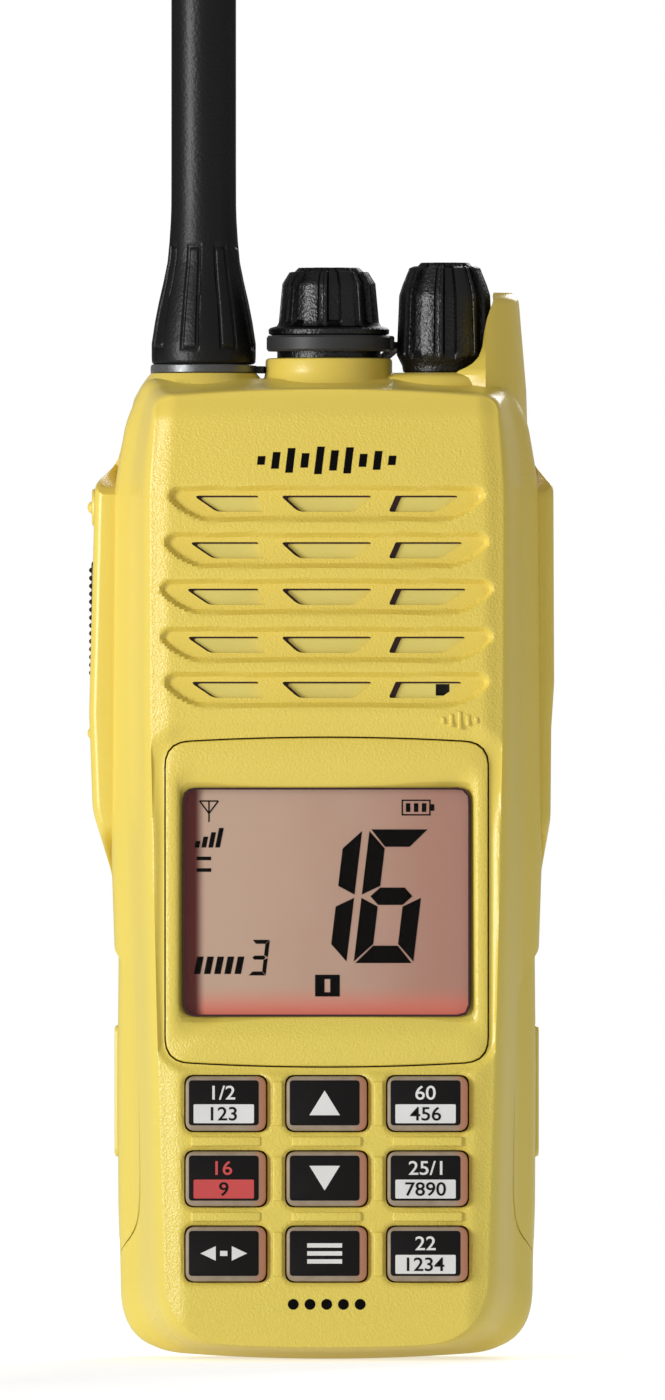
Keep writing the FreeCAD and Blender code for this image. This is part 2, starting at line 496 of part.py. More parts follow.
def keypad_mat():
    """Silicone web round the plungers, which it guides."""
    sheet = plate((41.0, 33.2), 0, KEY_ROWS[1], MAT_FRONT_Y, MAT_BACK_Y, 1.0)
    hole = (KEY_STEM_SIZE[0] + 0.6, KEY_STEM_SIZE[1] + 0.6)
    return sheet.cut([plate(hole, x, z, MAT_FRONT_Y - 1, MAT_BACK_Y + 1) for x, z in key_centres()])


def dome_sheet():
    sheet = plate((40.0, 32.0), 0, KEY_ROWS[1], DOME_SHEET_FRONT_Y, BOARD_FRONT_Y)
    return sheet.fuse([rod_y(x, z, DOME_RADIUS, DOME_SHEET_FRONT_Y - DOME_HEIGHT, DOME_SHEET_FRONT_Y)
                       for x, z in key_centres()])


def control_board():
    return box(-BOARD_HALF, BOARD_HALF, BOARD_FRONT_Y, BOARD_BACK_Y, BOARD_LOW, CONTROL_BOARD_HIGH)


def main_board():
    board = box(-BOARD_HALF, BOARD_HALF, MAIN_BOARD_Y[0], MAIN_BOARD_Y[1], BOARD_LOW, BOARD_HIGH)
    return board.cut([rod_y(x, z, SCREW_RADIUS, -9, 9) for x, z in board_screw_places()])


def shield_cans():
    spans = ((-CAN_HALF, CAN_HALF, 12, 38), (-CAN_HALF, -1, 44, 80), (1, CAN_HALF, 44, 80))
    cans = [box(x0, x1, CAN_FRONT_Y, MAIN_BOARD_Y[0], z0, z1) for x0, x1, z0, z1 in spans]
    return Part.makeCompound([rounded_along(can, "y", CAN_RADIUS) for can in cans])


def board_screw_places():
    return [(sign * BOARD_SCREW_X, z) for z in BOARD_SCREW_ZS for sign in (-1, 1)]


def board_screws():
    screws = []
    for x, z in board_screw_places():
        head = rod_y(x, z, 1.9, MAIN_BOARD_Y[0] - 1.2, MAIN_BOARD_Y[0])
        screws.append(head.fuse(rod_y(x, z, SCREW_RADIUS - SCREW_CLEARANCE, MAIN_BOARD_Y[0], -0.9)))
    return Part.makeCompound(screws)


def battery_terminals():
    """Three sprung contact pins on a block, reaching through the rear shell to the pack."""
    block = box(-9.0, 9.0, CHASSIS_Y[1], REAR_FRONT_Y - 0.1, TERMINAL_Z - 4, TERMINAL_Z + 4)
    legs = box(-9.0, 9.0, CHASSIS_Y[1] - 2.0, CHASSIS_Y[1], TERMINAL_Z - 2, TERMINAL_Z + 2)
    pins = [rod_y(x, TERMINAL_Z, TERMINAL_RADIUS, REAR_FRONT_Y - 0.2, REAR_PLATE_Y + 0.1) for x in TERMINAL_X]
    return block.fuse([legs] + pins)


# Antenna


def antenna_socket():
    """Threaded brass socket through the roof, with a hexagon nut's flange underneath."""
    sleeve = rod_z(ANTENNA_X, SOCKET_OUTER, 127.0, ANTENNA_SEAT_Z)
    flange = rod_z(ANTENNA_X, SOCKET_OUTER + 0.3, 129.2, CAVITY_HIGH)
    return sleeve.fuse(flange).cut(rod_z(ANTENNA_X, STUD_RADIUS + 0.05, 131.2, 140))


def antenna_washer():
    return tube_z(ANTENNA_X, STUD_RADIUS + 0.4, WASHER_RADIUS, ANTENNA_SEAT_Z, WASHER_TOP_Z)


def antenna_seal():
    """Rubber ring in a groove under the whip; it rises with the antenna and doesn't turn."""
    return tube_z(ANTENNA_X, 4.0, 5.6, WHIP_BOTTOM_Z + 0.05, WHIP_BOTTOM_Z + 1.15)


def antenna_stud():
    stud = rod_z(ANTENNA_X, STUD_RADIUS, ANTENNA_SEAT_Z + 1.2 - SCREW_TRAVEL, STUD_TOP_Z)
    tip = rod_z(ANTENNA_X, 0.7, STUD_TOP_Z, STUD_TOP_Z + 3)
    return stud.fuse(tip)


def antenna_coil():
    """The wound radiator inside the whip."""
    path = Part.makeHelix(COIL_PITCH, COIL_HIGH - COIL_LOW, COIL_RADIUS)
    wire = Part.Wire(Part.makeCircle(WIRE_RADIUS, Vector(COIL_RADIUS, 0, 0), Vector(0, 1, 0)))
    coil = Part.Wire(path).makePipeShell([wire], True, True)
    coil.translate(Vector(ANTENNA_X, TOP_Y, COIL_LOW))
    return coil


def antenna_whip():
    """Moulded rubber whip: flared skirt, straight shaft, round tip."""
    tip_radius = WHIP_PROFILE[-1][0]
    profile = ((WHIP_PROFILE[0][0], WHIP_BOTTOM_Z),) + WHIP_PROFILE + ((tip_radius, WHIP_TOP_Z),)
    body = turned(ANTENNA_X, profile)
    top_edge = [e for e in body.Edges if all(abs(v.Z - WHIP_TOP_Z) < 1e-6 for v in e.Vertexes)]
    body = body.makeFillet(tip_radius * 0.6, top_edge)
    bores = [rod_z(ANTENNA_X, STUD_RADIUS, WHIP_BOTTOM_Z - 1, STUD_TOP_Z),
             rod_z(ANTENNA_X, COIL_RADIUS + 0.7, STUD_TOP_Z - 1, COIL_HIGH + 2)]
    bores.append(tube_z(ANTENNA_X, 3.95, 5.7, WHIP_BOTTOM_Z - 1, WHIP_BOTTOM_Z + 1.2))
    return body.cut(bores)


# Accessory jack and its cap


def accessory_jack():
    jack = rod_z(CAP_X, JACK_RADIUS, JACK_LOW_Z, JACK_TOP_Z)
    bores = [rod_z(CAP_X + dx, 0.8, JACK_TOP_Z - 5, JACK_TOP_Z + 1) for dx in (-2.0, 0.0, 2.0)]
    return jack.cut(bores)


def tether_strap():
    """Loop round the antenna seat's washer and a strap that passes behind the jack collar."""
    z0, z1 = ANTENNA_SEAT_Z, ANTENNA_SEAT_Z + STRAP_THICK
    loop_inner, collar_gap = WASHER_RADIUS + 0.05, 0.4
    loop = tube_z(ANTENNA_X, loop_inner, loop_inner + 1.35, z0, z1)
    behind = tube_z(CAP_X, COLLAR_RADIUS + collar_gap, COLLAR_RADIUS + collar_gap + STRAP_WIDTH, z0, z1)
    behind = behind.cut(box(-30, 30, TOP_Y - 20, TOP_Y + 0.2, z0 - 1, z1 + 1))
    link = box(ANTENNA_X + 7.6, CAP_X - COLLAR_RADIUS - 0.3, TOP_Y + 0.2, TOP_Y + 3.2, z0, z1)
    return loop.fuse([behind, link]).cut([rod_z(ANTENNA_X, loop_inner, z0 - 1, z1 + 1),
                                          rod_z(CAP_X, COLLAR_RADIUS + collar_gap, z0 - 1, z1 + 1),
                                          rod_z(KNOB_X, KNOB_RADIUS + 0.5, z0 - 1, z1 + 1)])


def cap_ring():
    """The tether's ring round the cap's neck, with the lug that the strap joins."""
    inner, outer, z0, z1 = CAP_RING
    lug = box(CAP_X + outer - 1.0, CAP_X + outer + 0.35, TOP_Y - 1.0, TOP_Y + 2.4, z0, z1)
    return tube_z(CAP_X, inner, outer, z0, z1).fuse(lug).cut(rod_z(CAP_X, inner, z0 - 1, z1 + 1))


def grip(x, radius, z0, z1, top_radius):
    """A fluted finger grip with a smaller step at its top."""
    shoulder = z1 - 2.2
    body = rod_z(x, radius, z0, shoulder)
    distance = radius + FLUTE_RADIUS - LOBE_DEPTH
    for number in range(GRIP_LOBES):
        angle = (number + 0.5) * 2 * math.pi / GRIP_LOBES
        flute_x, flute_y = x + distance * math.sin(angle), TOP_Y + distance * math.cos(angle)
        body = body.cut(rod_z(flute_x, FLUTE_RADIUS, z0 + 1.2, z1 + 1, flute_y))
    return body.fuse(rod_z(x, top_radius, shoulder, z1))


def jack_cap():
    neck = rod_z(CAP_X, CAP_RING[0] - 0.15, COLLAR_TOP_Z + 0.05, CAP_FLANGE_Z)
    plug = rod_z(CAP_X, PLUG_RADIUS, COLLAR_TOP_Z + 0.05 - SCREW_TRAVEL, COLLAR_TOP_Z + 0.1)
    groove = tube_z(CAP_X, CAP_SEAL_INNER, PLUG_RADIUS + 1, CAP_SEAL_Z[0] - 0.1, CAP_SEAL_Z[1] + 0.1)
    flange = rod_z(CAP_X, CAP_FLANGE_RADIUS, CAP_FLANGE_Z, CAP_GRIP_Z)
    return plug.cut(groove).fuse([neck, flange, grip(CAP_X, CAP_GRIP_RADIUS, CAP_GRIP_Z, CAP_TOP_Z, 5.2)])


def cap_seal():
    return tube_z(CAP_X, CAP_SEAL_INNER, PLUG_RADIUS + 0.04, *CAP_SEAL_Z)


# Volume control


def volume_control():
    body = box(KNOB_X - 5.6, KNOB_X + 5.6, TOP_Y - 4.6, TOP_Y + 4.4, 121.0, 131.0)
    bushing = rod_z(KNOB_X, BUSHING_RADIUS, 131.0, KNOB_BOTTOM_Z - 0.3)
    return body.fuse(bushing).cut(rod_z(KNOB_X, SHAFT_RADIUS + 0.06, 125.0, KNOB_BOTTOM_Z + 1))


def volume_shaft():
    return rod_z(KNOB_X, SHAFT_RADIUS, 125.3, KNOB_TOP_Z - 4.0)


def volume_knob():
    skirt = turned(KNOB_X, ((KNOB_NECK_RADIUS, KNOB_BOTTOM_Z), (KNOB_RADIUS, KNOB_BOTTOM_Z + 2.3)))
    top = grip(KNOB_X, KNOB_RADIUS, KNOB_BOTTOM_Z + 2.3, KNOB_TOP_Z, 5.0)
    return skirt.fuse(top).cut(rod_z(KNOB_X, SHAFT_RADIUS, KNOB_BOTTOM_Z - 1, KNOB_TOP_Z - 4.0))


# Left side keys


def ptt_button():
    """Wide rubber-faced button with vertical finger ribs and a stem to its switch."""
    cap = box(PTT_OUTER_X + 0.5, SIDE_CAP_INNER_X, PTT_Y[0], PTT_Y[1], PTT_Z[0], PTT_Z[1])
    feet = [PTT_Z[0] + 0.4 + number * PTT_RIB_PITCH for number in range(PTT_RIB_COUNT)]
    ribs = [box(PTT_OUTER_X, PTT_OUTER_X + 0.6, PTT_Y[0] + 0.6, PTT_Y[1] - 0.6, z, z + PTT_RIB_PITCH / 2)
            for z in feet]
    stem = box(SIDE_CAP_INNER_X - 0.1, STEM_END_X, *PTT_STEM_Y, *PTT_STEM_Z)
    return cap.fuse(ribs + [stem])


def side_key(z):
    """Round side key with a small raised dome to find it by touch."""
    face_x = -BULGE_OUTER + 0.1
    cap = rod_x(SIDE_KEY_Y, z, SIDE_KEY_RADIUS, face_x, SIDE_CAP_INNER_X)
    stem = rod_x(SIDE_KEY_Y, z, SIDE_STEM_RADIUS, SIDE_CAP_INNER_X - 0.1, STEM_END_X)
    dome = Part.makeSphere(0.75, Vector(face_x, SIDE_KEY_Y, z))
    return cap.fuse([stem, dome])


def side_switch_board():
    board = box(SIDE_BOARD_X[0], SIDE_BOARD_X[1], -1.0, 4.2, 80.0, 116.9)
    switches = [box(-25.1, SIDE_BOARD_X[0] + 0.1, 1.4, 4.0, z - 2, z + 2) for z in (85.2, 101.0, 114.6)]
    return board.fuse(switches)


# Battery pack


def battery_case():
    tub = box(-PACK_HALF, PACK_HALF, REAR_PLATE_Y + 0.2, PACK_BACK_Y, PACK_LOW, PACK_HIGH)
    back = [e for e in tub.Edges if all(abs(v.Y - PACK_BACK_Y) < 1e-6 for v in e.Vertexes)]
    tub = tub.makeFillet(4.0, back)
    inside = box(-PACK_INNER_HALF, PACK_INNER_HALF, 0, PACK_BACK_Y - PACK_WALL, PACK_LOW + PACK_WALL,
                 PACK_HIGH - PACK_WALL)
    side = box(PACK_INNER_HALF, PACK_HALF, PACK_FRONT_Y, PACK_BACK_Y - 4.0, PACK_LOW, PACK_HIGH - 0.4)
    floor = box(-PACK_HALF, PACK_HALF, PACK_FRONT_Y, REAR_PLATE_Y + 1, PACK_LOW, PACK_LOW + PACK_WALL)
    wing = wing_prism(PACK_INNER_HALF, WING_OUTER)
    window = box(20.0, 35.0, LATCH_Y[0] - 0.2, LATCH_Y[1] + 0.2, LATCH_Z[0] - 0.2, LATCH_Z[1] + 0.2)
    tub = tub.cut(inside).fuse([both_sides(side), floor, both_sides(wing)])
    return tub.cut(both_sides(window)).removeSplitter()


def battery_cover():
    """Inner wall of the pack, facing the radio, with pockets for the contact plates."""
    sheet = box(-COVER_HALF, COVER_HALF, REAR_PLATE_Y + 0.25, COVER_BACK_Y,
                PACK_LOW + 1.7, PACK_HIGH - 1.7)
    pocket = (CONTACT_SIZE[0] + 0.4, CONTACT_SIZE[1] + 0.4)
    return sheet.cut([plate(pocket, x, TERMINAL_Z, REAR_PLATE_Y - 1, CONTACT_BACK_Y) for x in TERMINAL_X])


def pack_contacts():
    return Part.makeCompound([plate(CONTACT_SIZE, x, TERMINAL_Z, REAR_PLATE_Y + 0.25, CONTACT_BACK_Y)
                              for x in TERMINAL_X])


def battery_cells():
    cell = rounded_along(box(0.6, COVER_HALF - 1, *CELL_Y, *CELL_Z), "z", 3.0)
    return Part.makeCompound([cell, mirrored(cell)])


def latch():
    """Side button of the pack, on the +X side: a cap through the wing and a flange behind it."""
    cap = box(LATCH_X[0], LATCH_X[1], LATCH_Y[0], LATCH_Y[1], LATCH_Z[0], LATCH_Z[1])
    outer_face = [e for e in cap.Edges if all(abs(v.X - LATCH_X[1]) < 1e-6 for v in e.Vertexes)]
    cap = cap.makeChamfer(0.35, outer_face)
    flange = box(LATCH_POCKET_X + LATCH_TRAVEL + 0.05, PACK_INNER_HALF - 0.1,
                 LATCH_Y[0] - 0.7, LATCH_Y[1] + 0.3, LATCH_Z[0] - 1, LATCH_Z[1] + 1)
    return cap.fuse(flange)


def latch_springs():
    """A bowed leaf behind each latch."""
    z0, z1, middle = LATCH_Z[0] + 2, LATCH_Z[1] - 2, (LATCH_Z[0] + LATCH_Z[1]) / 2
    y0, y1 = LATCH_Y[0] + 1, LATCH_Y[1] - 1
    near, far = LATCH_POCKET_X + 0.1, LATCH_POCKET_X + 0.1 + SPRING_THICK
    corners = [Vector(near, y0, z0), Vector(near, y0, z1), Vector(far, y0, z1), Vector(far, y0, z0)]
    inner = Part.Arc(corners[0], Vector(near + SPRING_BOW, y0, middle), corners[1]).toShape()
    outer = Part.Arc(corners[2], Vector(far + SPRING_BOW, y0, middle), corners[3]).toShape()
    ends = [Part.makeLine(corners[1], corners[2]), Part.makeLine(corners[3], corners[0])]
    outline = Part.Wire([inner, ends[0], outer, ends[1]])
    leaf = Part.Face(outline).extrude(Vector(0, y1 - y0, 0))
    return Part.makeCompound([leaf, mirrored(leaf)])


# Belt clip


def clip_screw_places():
    return [(-CLIP_SCREW_X, CLIP_SCREW_Z), (CLIP_SCREW_X, CLIP_SCREW_Z)]


def clip_base():
    """Plate screwed to the rear shell, with two ears that hold the pin."""
    back = plate((24.0, 24.0), 0, CLIP_PIN_Z - 2, REAR_BACK_Y, REAR_BACK_Y + CLIP_PLATE, 2.0)
    ear = box(*CLIP_EAR_X, REAR_BACK_Y, CLIP_PIN_Y,
              CLIP_PIN_Z - CLIP_EAR_RADIUS, CLIP_PIN_Z + CLIP_EAR_RADIUS)
    ear = ear.fuse(rod_x(CLIP_PIN_Y, CLIP_PIN_Z, CLIP_EAR_RADIUS, *CLIP_EAR_X))
    holes = [rod_y(x, z, SCREW_RADIUS + SCREW_CLEARANCE, REAR_PLATE_Y, CLIP_PIN_Y)
             for x, z in clip_screw_places()]
    holes.append(rod_x(CLIP_PIN_Y, CLIP_PIN_Z, CLIP_PIN_RADIUS, -CLIP_WIDTH, CLIP_WIDTH))
    return back.fuse(both_sides(ear)).cut(holes)


def clip_screws():
    screws = []
    for x, z in clip_screw_places():
        seat = REAR_BACK_Y + CLIP_PLATE
        head = rod_y(x, z, 2.0, seat, seat + 1)
        slot = box(x - 2.1, x + 2.1, REAR_BACK_Y + 2.2, REAR_BACK_Y + 3, z - 0.3, z + 0.3)
        screws.append(head.fuse(rod_y(x, z, SCREW_RADIUS, REAR_BACK_Y - 2.3, seat)).cut(slot))
    return Part.makeCompound(screws)


def clip_pin():
    return rod_x(CLIP_PIN_Y, CLIP_PIN_Z, CLIP_PIN_RADIUS, -CLIP_EAR_X[1], CLIP_EAR_X[1])


def belt_clip():
    """The clip's tongue, a thumb pad above the pin and two hub barrels on it."""
    tongue_y = CLIP_PIN_Y + CLIP_STANDOFF
    tongue = plate((CLIP_WIDTH, CLIP_HIGH_Z - CLIP_LOW_Z), 0, (CLIP_LOW_Z + CLIP_HIGH_Z) / 2,
                   tongue_y, tongue_y + CLIP_THICK, 4.0)
    foot = box(-7.0, 7.0, tongue_y - 3.2, tongue_y + 0.5, CLIP_LOW_Z + 1.5, CLIP_LOW_Z + 3.5)
    hub = rod_x(CLIP_PIN_Y, CLIP_PIN_Z, CLIP_HUB_RADIUS, CLIP_HUB_INNER_X, CLIP_EAR_X[0] - 0.2)
    bore = rod_x(CLIP_PIN_Y, CLIP_PIN_Z, CLIP_PIN_RADIUS + 0.05, -CLIP_WIDTH, CLIP_WIDTH)
    slots = both_sides(box(CLIP_EAR_X[0] - 0.2, CLIP_EAR_X[1] + 0.2, REAR_PLATE_Y, CLIP_PIN_Y + 3.0,
                           CLIP_PIN_Z - 3.4, CLIP_PIN_Z + 3.4))
    return tongue.cut(slots).fuse([foot, both_sides(hub)]).cut(bore)


def clip_spring():
    """Torsion coil on the pin between the hubs, with a leg on the base and one on the tongue."""
    coil = rod_x(CLIP_PIN_Y, CLIP_PIN_Z, 1.35, -4.0, 4.0)
    turns = [rod_x(CLIP_PIN_Y, CLIP_PIN_Z, 1.9, x, x + 0.55) for x in CLIP_COIL_XS]
    base_leg = box(-3.9, -3.3, REAR_BACK_Y + CLIP_PLATE + 0.05, CLIP_PIN_Y - 1.4,
                   CLIP_PIN_Z - 7.0, CLIP_PIN_Z - 1.2)
    return coil.fuse(turns + [base_leg]).cut(rod_x(CLIP_PIN_Y, CLIP_PIN_Z, CLIP_PIN_RADIUS + 0.05, -9, 9))


def main():
    os.makedirs("parts", exist_ok=True)
    builders = (front_shell, rear_shell, case_gasket, case_screws, chassis, screen_bezel, lens, lcd_panel,
                lcd_backlight, lcd_frame, grille_baffle, speaker_basket, speaker_cone, microphone,
                keypad_mat, dome_sheet, control_board, main_board, shield_cans, board_screws,
                battery_terminals, antenna_socket, antenna_washer, antenna_seal, antenna_stud,
                antenna_coil, antenna_whip, accessory_jack, tether_strap, cap_ring, jack_cap, cap_seal,
                volume_control, volume_shaft, volume_knob, ptt_button, side_switch_board, battery_case,
                battery_cover, pack_contacts, battery_cells, latch_springs, clip_base, clip_screws,
                clip_pin, belt_clip, clip_spring)
    for build in builders:
        save(build.__name__, build())
    for number, (x, z) in enumerate(key_centres(), start=1):
        save("key_%d" % number, key(x, z))
    save("side_key_upper", side_key(SIDE_KEY_ZS[0]))
    save("side_key_lower", side_key(SIDE_KEY_ZS[1]))
    save("latch_right", latch())
    save("latch_left", mirrored(latch()))


main()
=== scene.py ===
"""Looks for the handheld marine radio: visual pieces, materials, floor, lights and camera.

Shapes are worked out in millimetres in the part's frame (+Z up, the display faces -Y) and turned into metres
when a mesh is made.
"""

import math

import bmesh
import bpy
import numpy as np
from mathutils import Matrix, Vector


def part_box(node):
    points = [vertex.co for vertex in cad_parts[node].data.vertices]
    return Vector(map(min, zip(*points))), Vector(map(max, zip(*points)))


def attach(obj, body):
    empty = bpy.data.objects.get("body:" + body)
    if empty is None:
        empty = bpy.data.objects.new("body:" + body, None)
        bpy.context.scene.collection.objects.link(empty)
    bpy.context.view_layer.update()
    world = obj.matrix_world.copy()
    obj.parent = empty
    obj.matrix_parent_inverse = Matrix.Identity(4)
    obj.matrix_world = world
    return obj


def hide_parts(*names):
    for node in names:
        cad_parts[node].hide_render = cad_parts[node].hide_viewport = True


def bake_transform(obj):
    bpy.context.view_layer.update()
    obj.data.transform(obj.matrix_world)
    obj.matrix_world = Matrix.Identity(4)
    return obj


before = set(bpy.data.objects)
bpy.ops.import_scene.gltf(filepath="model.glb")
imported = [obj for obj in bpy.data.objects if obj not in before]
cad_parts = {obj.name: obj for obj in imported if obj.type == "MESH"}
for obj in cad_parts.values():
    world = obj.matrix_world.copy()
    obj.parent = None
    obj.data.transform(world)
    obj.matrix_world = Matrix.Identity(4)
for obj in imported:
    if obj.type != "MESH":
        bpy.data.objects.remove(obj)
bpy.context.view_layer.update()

MM = 0.001
SMOOTH_ANGLE = math.radians(38)
SAME_PLACE = 1e-7
BROAD_SCALE = 60.0


# ---------------------------------------------------------------- numbers that several pieces share

def node_box(node):
    """A CAD node's lowest and highest corner, in millimetres."""
    low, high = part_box(node)
    return np.array(low) / MM, np.array(high) / MM


FACE_Y = -18.0
FACE_CROWN = 0.55
FACE_EDGE_Y = -16.8
PARTING_Y = 5.4
BODY_TOP = 134.2
TOUCH = 0.02
DECK_LOW = 131.8
DECK_HALF = 24.4

whip_low, whip_high = node_box("antenna_whip")
cap_low, cap_high = node_box("jack_cap")
knob_low, knob_high = node_box("volume_knob")
ring_low, ring_high = node_box("cap_ring")
washer_low = node_box("antenna_washer")[0]
pack_high = node_box("battery_case")[1]

ANTENNA_X = (whip_low[0] + whip_high[0]) / 2
CAP_X = (cap_low[0] + cap_high[0]) / 2
KNOB_X = (knob_low[0] + knob_high[0]) / 2
TOP_Y = (knob_low[1] + knob_high[1]) / 2
TOP_BORES = ((ANTENNA_X, 4.65), (CAP_X, 6.6), (KNOB_X, 3.5))

GRILLE_ROWS = ((116.8, 21.9), (110.4, 22.5), (104.0, 23.05), (97.4, 23.0), (91.2, 22.5))
GROOVE_HALF_HEIGHT = 2.45
GROOVE_SHOULDER = 1.1
GROOVE_NARROWING = 4.6
GROOVE_DEPTH = 1.1
SLOT_HALF_HEIGHT = 1.12
SLOT_ENDS = (18.4, 19.0, 19.5, 19.4, 18.9)
SHARP, SWEPT = 0.3, 2.2

BEZEL_CENTRE_Z = 62.0
BEZEL_HALF = (22.2, 21.9)
BEZEL_ARCH = 0.75
BEZEL_RADIUS = 3.2
WINDOW_HALF = (19.75, 15.75)
BEZEL_POINTS, WINDOW_POINTS = 160, 120

KEY_PITCH = 13.87
KEY_COLUMNS = (-KEY_PITCH, 0.0, KEY_PITCH)
KEY_ROWS = (34.3, 23.95, 13.6)
KEY_HALF = (5.53, 3.75)
KEY_RADIUS = 1.4
KEY_GAP = 0.2
KEY_OPENING_HALF = (KEY_HALF[0] + KEY_GAP, KEY_HALF[1] + KEY_GAP)


# ---------------------------------------------------------------- outlines


def rounded_loop(corners, steps=8):
    """A closed outline through (x, z, radius) corners with an arc at each, and each arc's middle place."""
    points, middles = [], []
    count = len(corners)
    for index, (x, z, radius) in enumerate(corners):
        here = np.array([x, z])
        back = np.array(corners[index - 1][:2]) - here
        ahead = np.array(corners[(index + 1) % count][:2]) - here
        back_length, ahead_length = np.linalg.norm(back), np.linalg.norm(ahead)
        back, ahead = back / back_length, ahead / ahead_length
        half = math.acos(np.clip(back @ ahead, -1, 1)) / 2
        reach = min(radius / max(math.tan(half), 1e-6), 0.48 * back_length, 0.48 * ahead_length)
        first, last = here + back * reach, here + ahead * reach
        for t in np.linspace(0, 1, 2 * steps + 1):
            points.append((1 - t) ** 2 * first + 2 * t * (1 - t) * here + t * t * last)
        middles.append(len(points) - 1 - steps)
    return np.array(points), middles


def resampled(points, count):
    """The same open path with count + 1 points an equal distance apart."""
    lengths = np.concatenate([[0], np.cumsum(np.linalg.norm(np.diff(points, axis=0), axis=1))])
    at = np.linspace(0, lengths[-1], count + 1)
    return np.stack([np.interp(at, lengths, points[:, k]) for k in range(points.shape[1])], axis=1)


def evenly_spaced(loop, count):
    """A closed outline with its points an equal distance apart."""
    return resampled(np.concatenate([loop, loop[:1]]), count)[:-1]


def circle_loop(x, z, radius, count=32):
    angles = np.linspace(0, 2 * math.pi, count, endpoint=False)
    return np.stack([x + radius * np.cos(angles), z + radius * np.sin(angles)], axis=1)


def mirrored_corners(right):
    """A whole outline from its right half, listed from the bottom corner up to the top corner."""
    return list(right) + [(-x, z, radius) for x, z, radius in reversed(right)]


def gridded_loop(corners, top_right, across, along):
    """The outline as right, top, left and bottom paths, to border a grid of across by along cells."""
    points, middles = rounded_loop(corners)
    count = len(points)
    marks = [middles[0], middles[top_right], middles[top_right + 1], middles[-1], middles[0] + count]
    paths = []
    for first, last, cells in zip(marks, marks[1:], (along, across, along, across)):
        path = points[np.arange(first, last + 1) % count]
        paths.append(resampled(path, cells)[:-1])
    return np.concatenate(paths)


def patch_from_loop(loop, across, along):
    """A smooth grid of points inside a gridded loop; the grid is [across + 1, along + 1, 2]."""
    right = loop[: along + 1]
    top = loop[along : along + across + 1][::-1]
    left = loop[along + across : 2 * along + across + 1][::-1]
    bottom = np.concatenate([loop[2 * along + across :], loop[:1]])
    u = np.linspace(0, 1, across + 1)[:, None, None]
    v = np.linspace(0, 1, along + 1)[None, :, None]
    corners = (1 - v) * ((1 - u) * bottom[0] + u * bottom[-1]) + v * ((1 - u) * top[0] + u * top[-1])
    return (1 - v) * bottom[:, None] + v * top[:, None] + (1 - u) * left[None] + u * right[None] - corners


def border_order(across, along):
    """Grid places of a gridded loop's points, in the loop's order."""
    places = [(across, j) for j in range(along)] + [(i, along) for i in range(across, 0, -1)]
    places += [(0, j) for j in range(along, 0, -1)] + [(i, 0) for i in range(across)]
    return places


# ---------------------------------------------------------------- meshes


def mesh_object(name, points, faces, materials, slots=None):
    """A mesh in metres from points in millimetres; slots may give each face's material."""
    mesh = bpy.data.meshes.new(name)
    mesh.from_pydata((np.asarray(points, float) * MM).tolist(), [], faces)
    for material in materials:
        mesh.materials.append(material)
    if slots is None:
        mesh.validate()
    else:
        mesh.polygons.foreach_set("material_index", slots)
    obj = bpy.data.objects.new(name, mesh)
    bpy.context.scene.collection.objects.link(obj)
    tidy_mesh(obj)
    return obj


def tidy_mesh(obj):
    """Merges doubled points, turns all faces outwards and shades smooth except across sharp edges."""
    work = bmesh.new()
    work.from_mesh(obj.data)
    bmesh.ops.remove_doubles(work, verts=work.verts, dist=SAME_PLACE)
    bmesh.ops.dissolve_degenerate(work, dist=SAME_PLACE, edges=work.edges)
    bmesh.ops.recalc_face_normals(work, faces=work.faces)
    for face in work.faces:
        face.smooth = True
    for edge in work.edges:
        edge.smooth = edge.calc_face_angle(0) < SMOOTH_ANGLE
    work.to_mesh(obj.data)
    work.free()


def placed(piece, body, finish, *nodes):
    """Puts a piece on its body in place of the CAD nodes it stands for; the finish argument is not used."""
    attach(piece, body)
    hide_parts(*nodes)


def loft(rings, cap_first=True, cap_last=True):
    """Points and faces of a skin over closed rings that all have the same number of points."""
    count = len(rings[0])
    faces = []
    for level in range(len(rings) - 1):
        low, high = level * count, (level + 1) * count
        for k in range(count):
            after = (k + 1) % count
            faces.append((low + k, low + after, high + after, high + k))
    if cap_first:
        faces.append(tuple(range(count - 1, -1, -1)))
    if cap_last:
        faces.append(tuple(range((len(rings) - 1) * count, len(rings) * count)))
    return np.concatenate(rings), faces


def joined(parts):
    """Several (points, faces) pairs as one."""
    points, faces, base = [], [], 0
    for part_points, part_faces in parts:
        points.append(np.asarray(part_points, float))
        faces += [tuple(base + index for index in face) for face in part_faces]
        base += len(part_points)
    return np.concatenate(points), faces


def at_depth(loop, y):
    """A flat (x, z) loop placed at one depth, or at one depth per point."""
    return np.stack([loop[:, 0], np.broadcast_to(y, len(loop)), loop[:, 1]], axis=1)


def turned(x, y, profile, segments=96, shape=None):
    """A skin of revolution about a vertical line; shape(angle, radius, z) may change the radius."""
    angles = np.linspace(0, 2 * math.pi, segments, endpoint=False)
    rings = []
    for radius, z in profile:
        reach = np.full(segments, radius) if shape is None else shape(angles, radius, z)
        level = np.full(segments, z)
        rings.append(np.column_stack([x + reach * np.cos(angles), y + reach * np.sin(angles), level]))
    return loft(rings)


def turned_tube(x, y, profile, segments=96):
    """A skin of revolution whose (radius, z) profile is a closed ring that doesn't touch the axis."""
    points, faces = turned(x, y, list(profile) + [profile[0]], segments)
    return points, faces[:-2]


def prism(loop, y0, y1):
    return loft([at_depth(loop, y1), at_depth(loop, y0)])


def bar_along_x(x0, x1, y, z, radius, count=40):
    circle = circle_loop(y, z, radius, count)
    return loft([np.column_stack([np.full(count, x), circle]) for x in (x0, x1)])


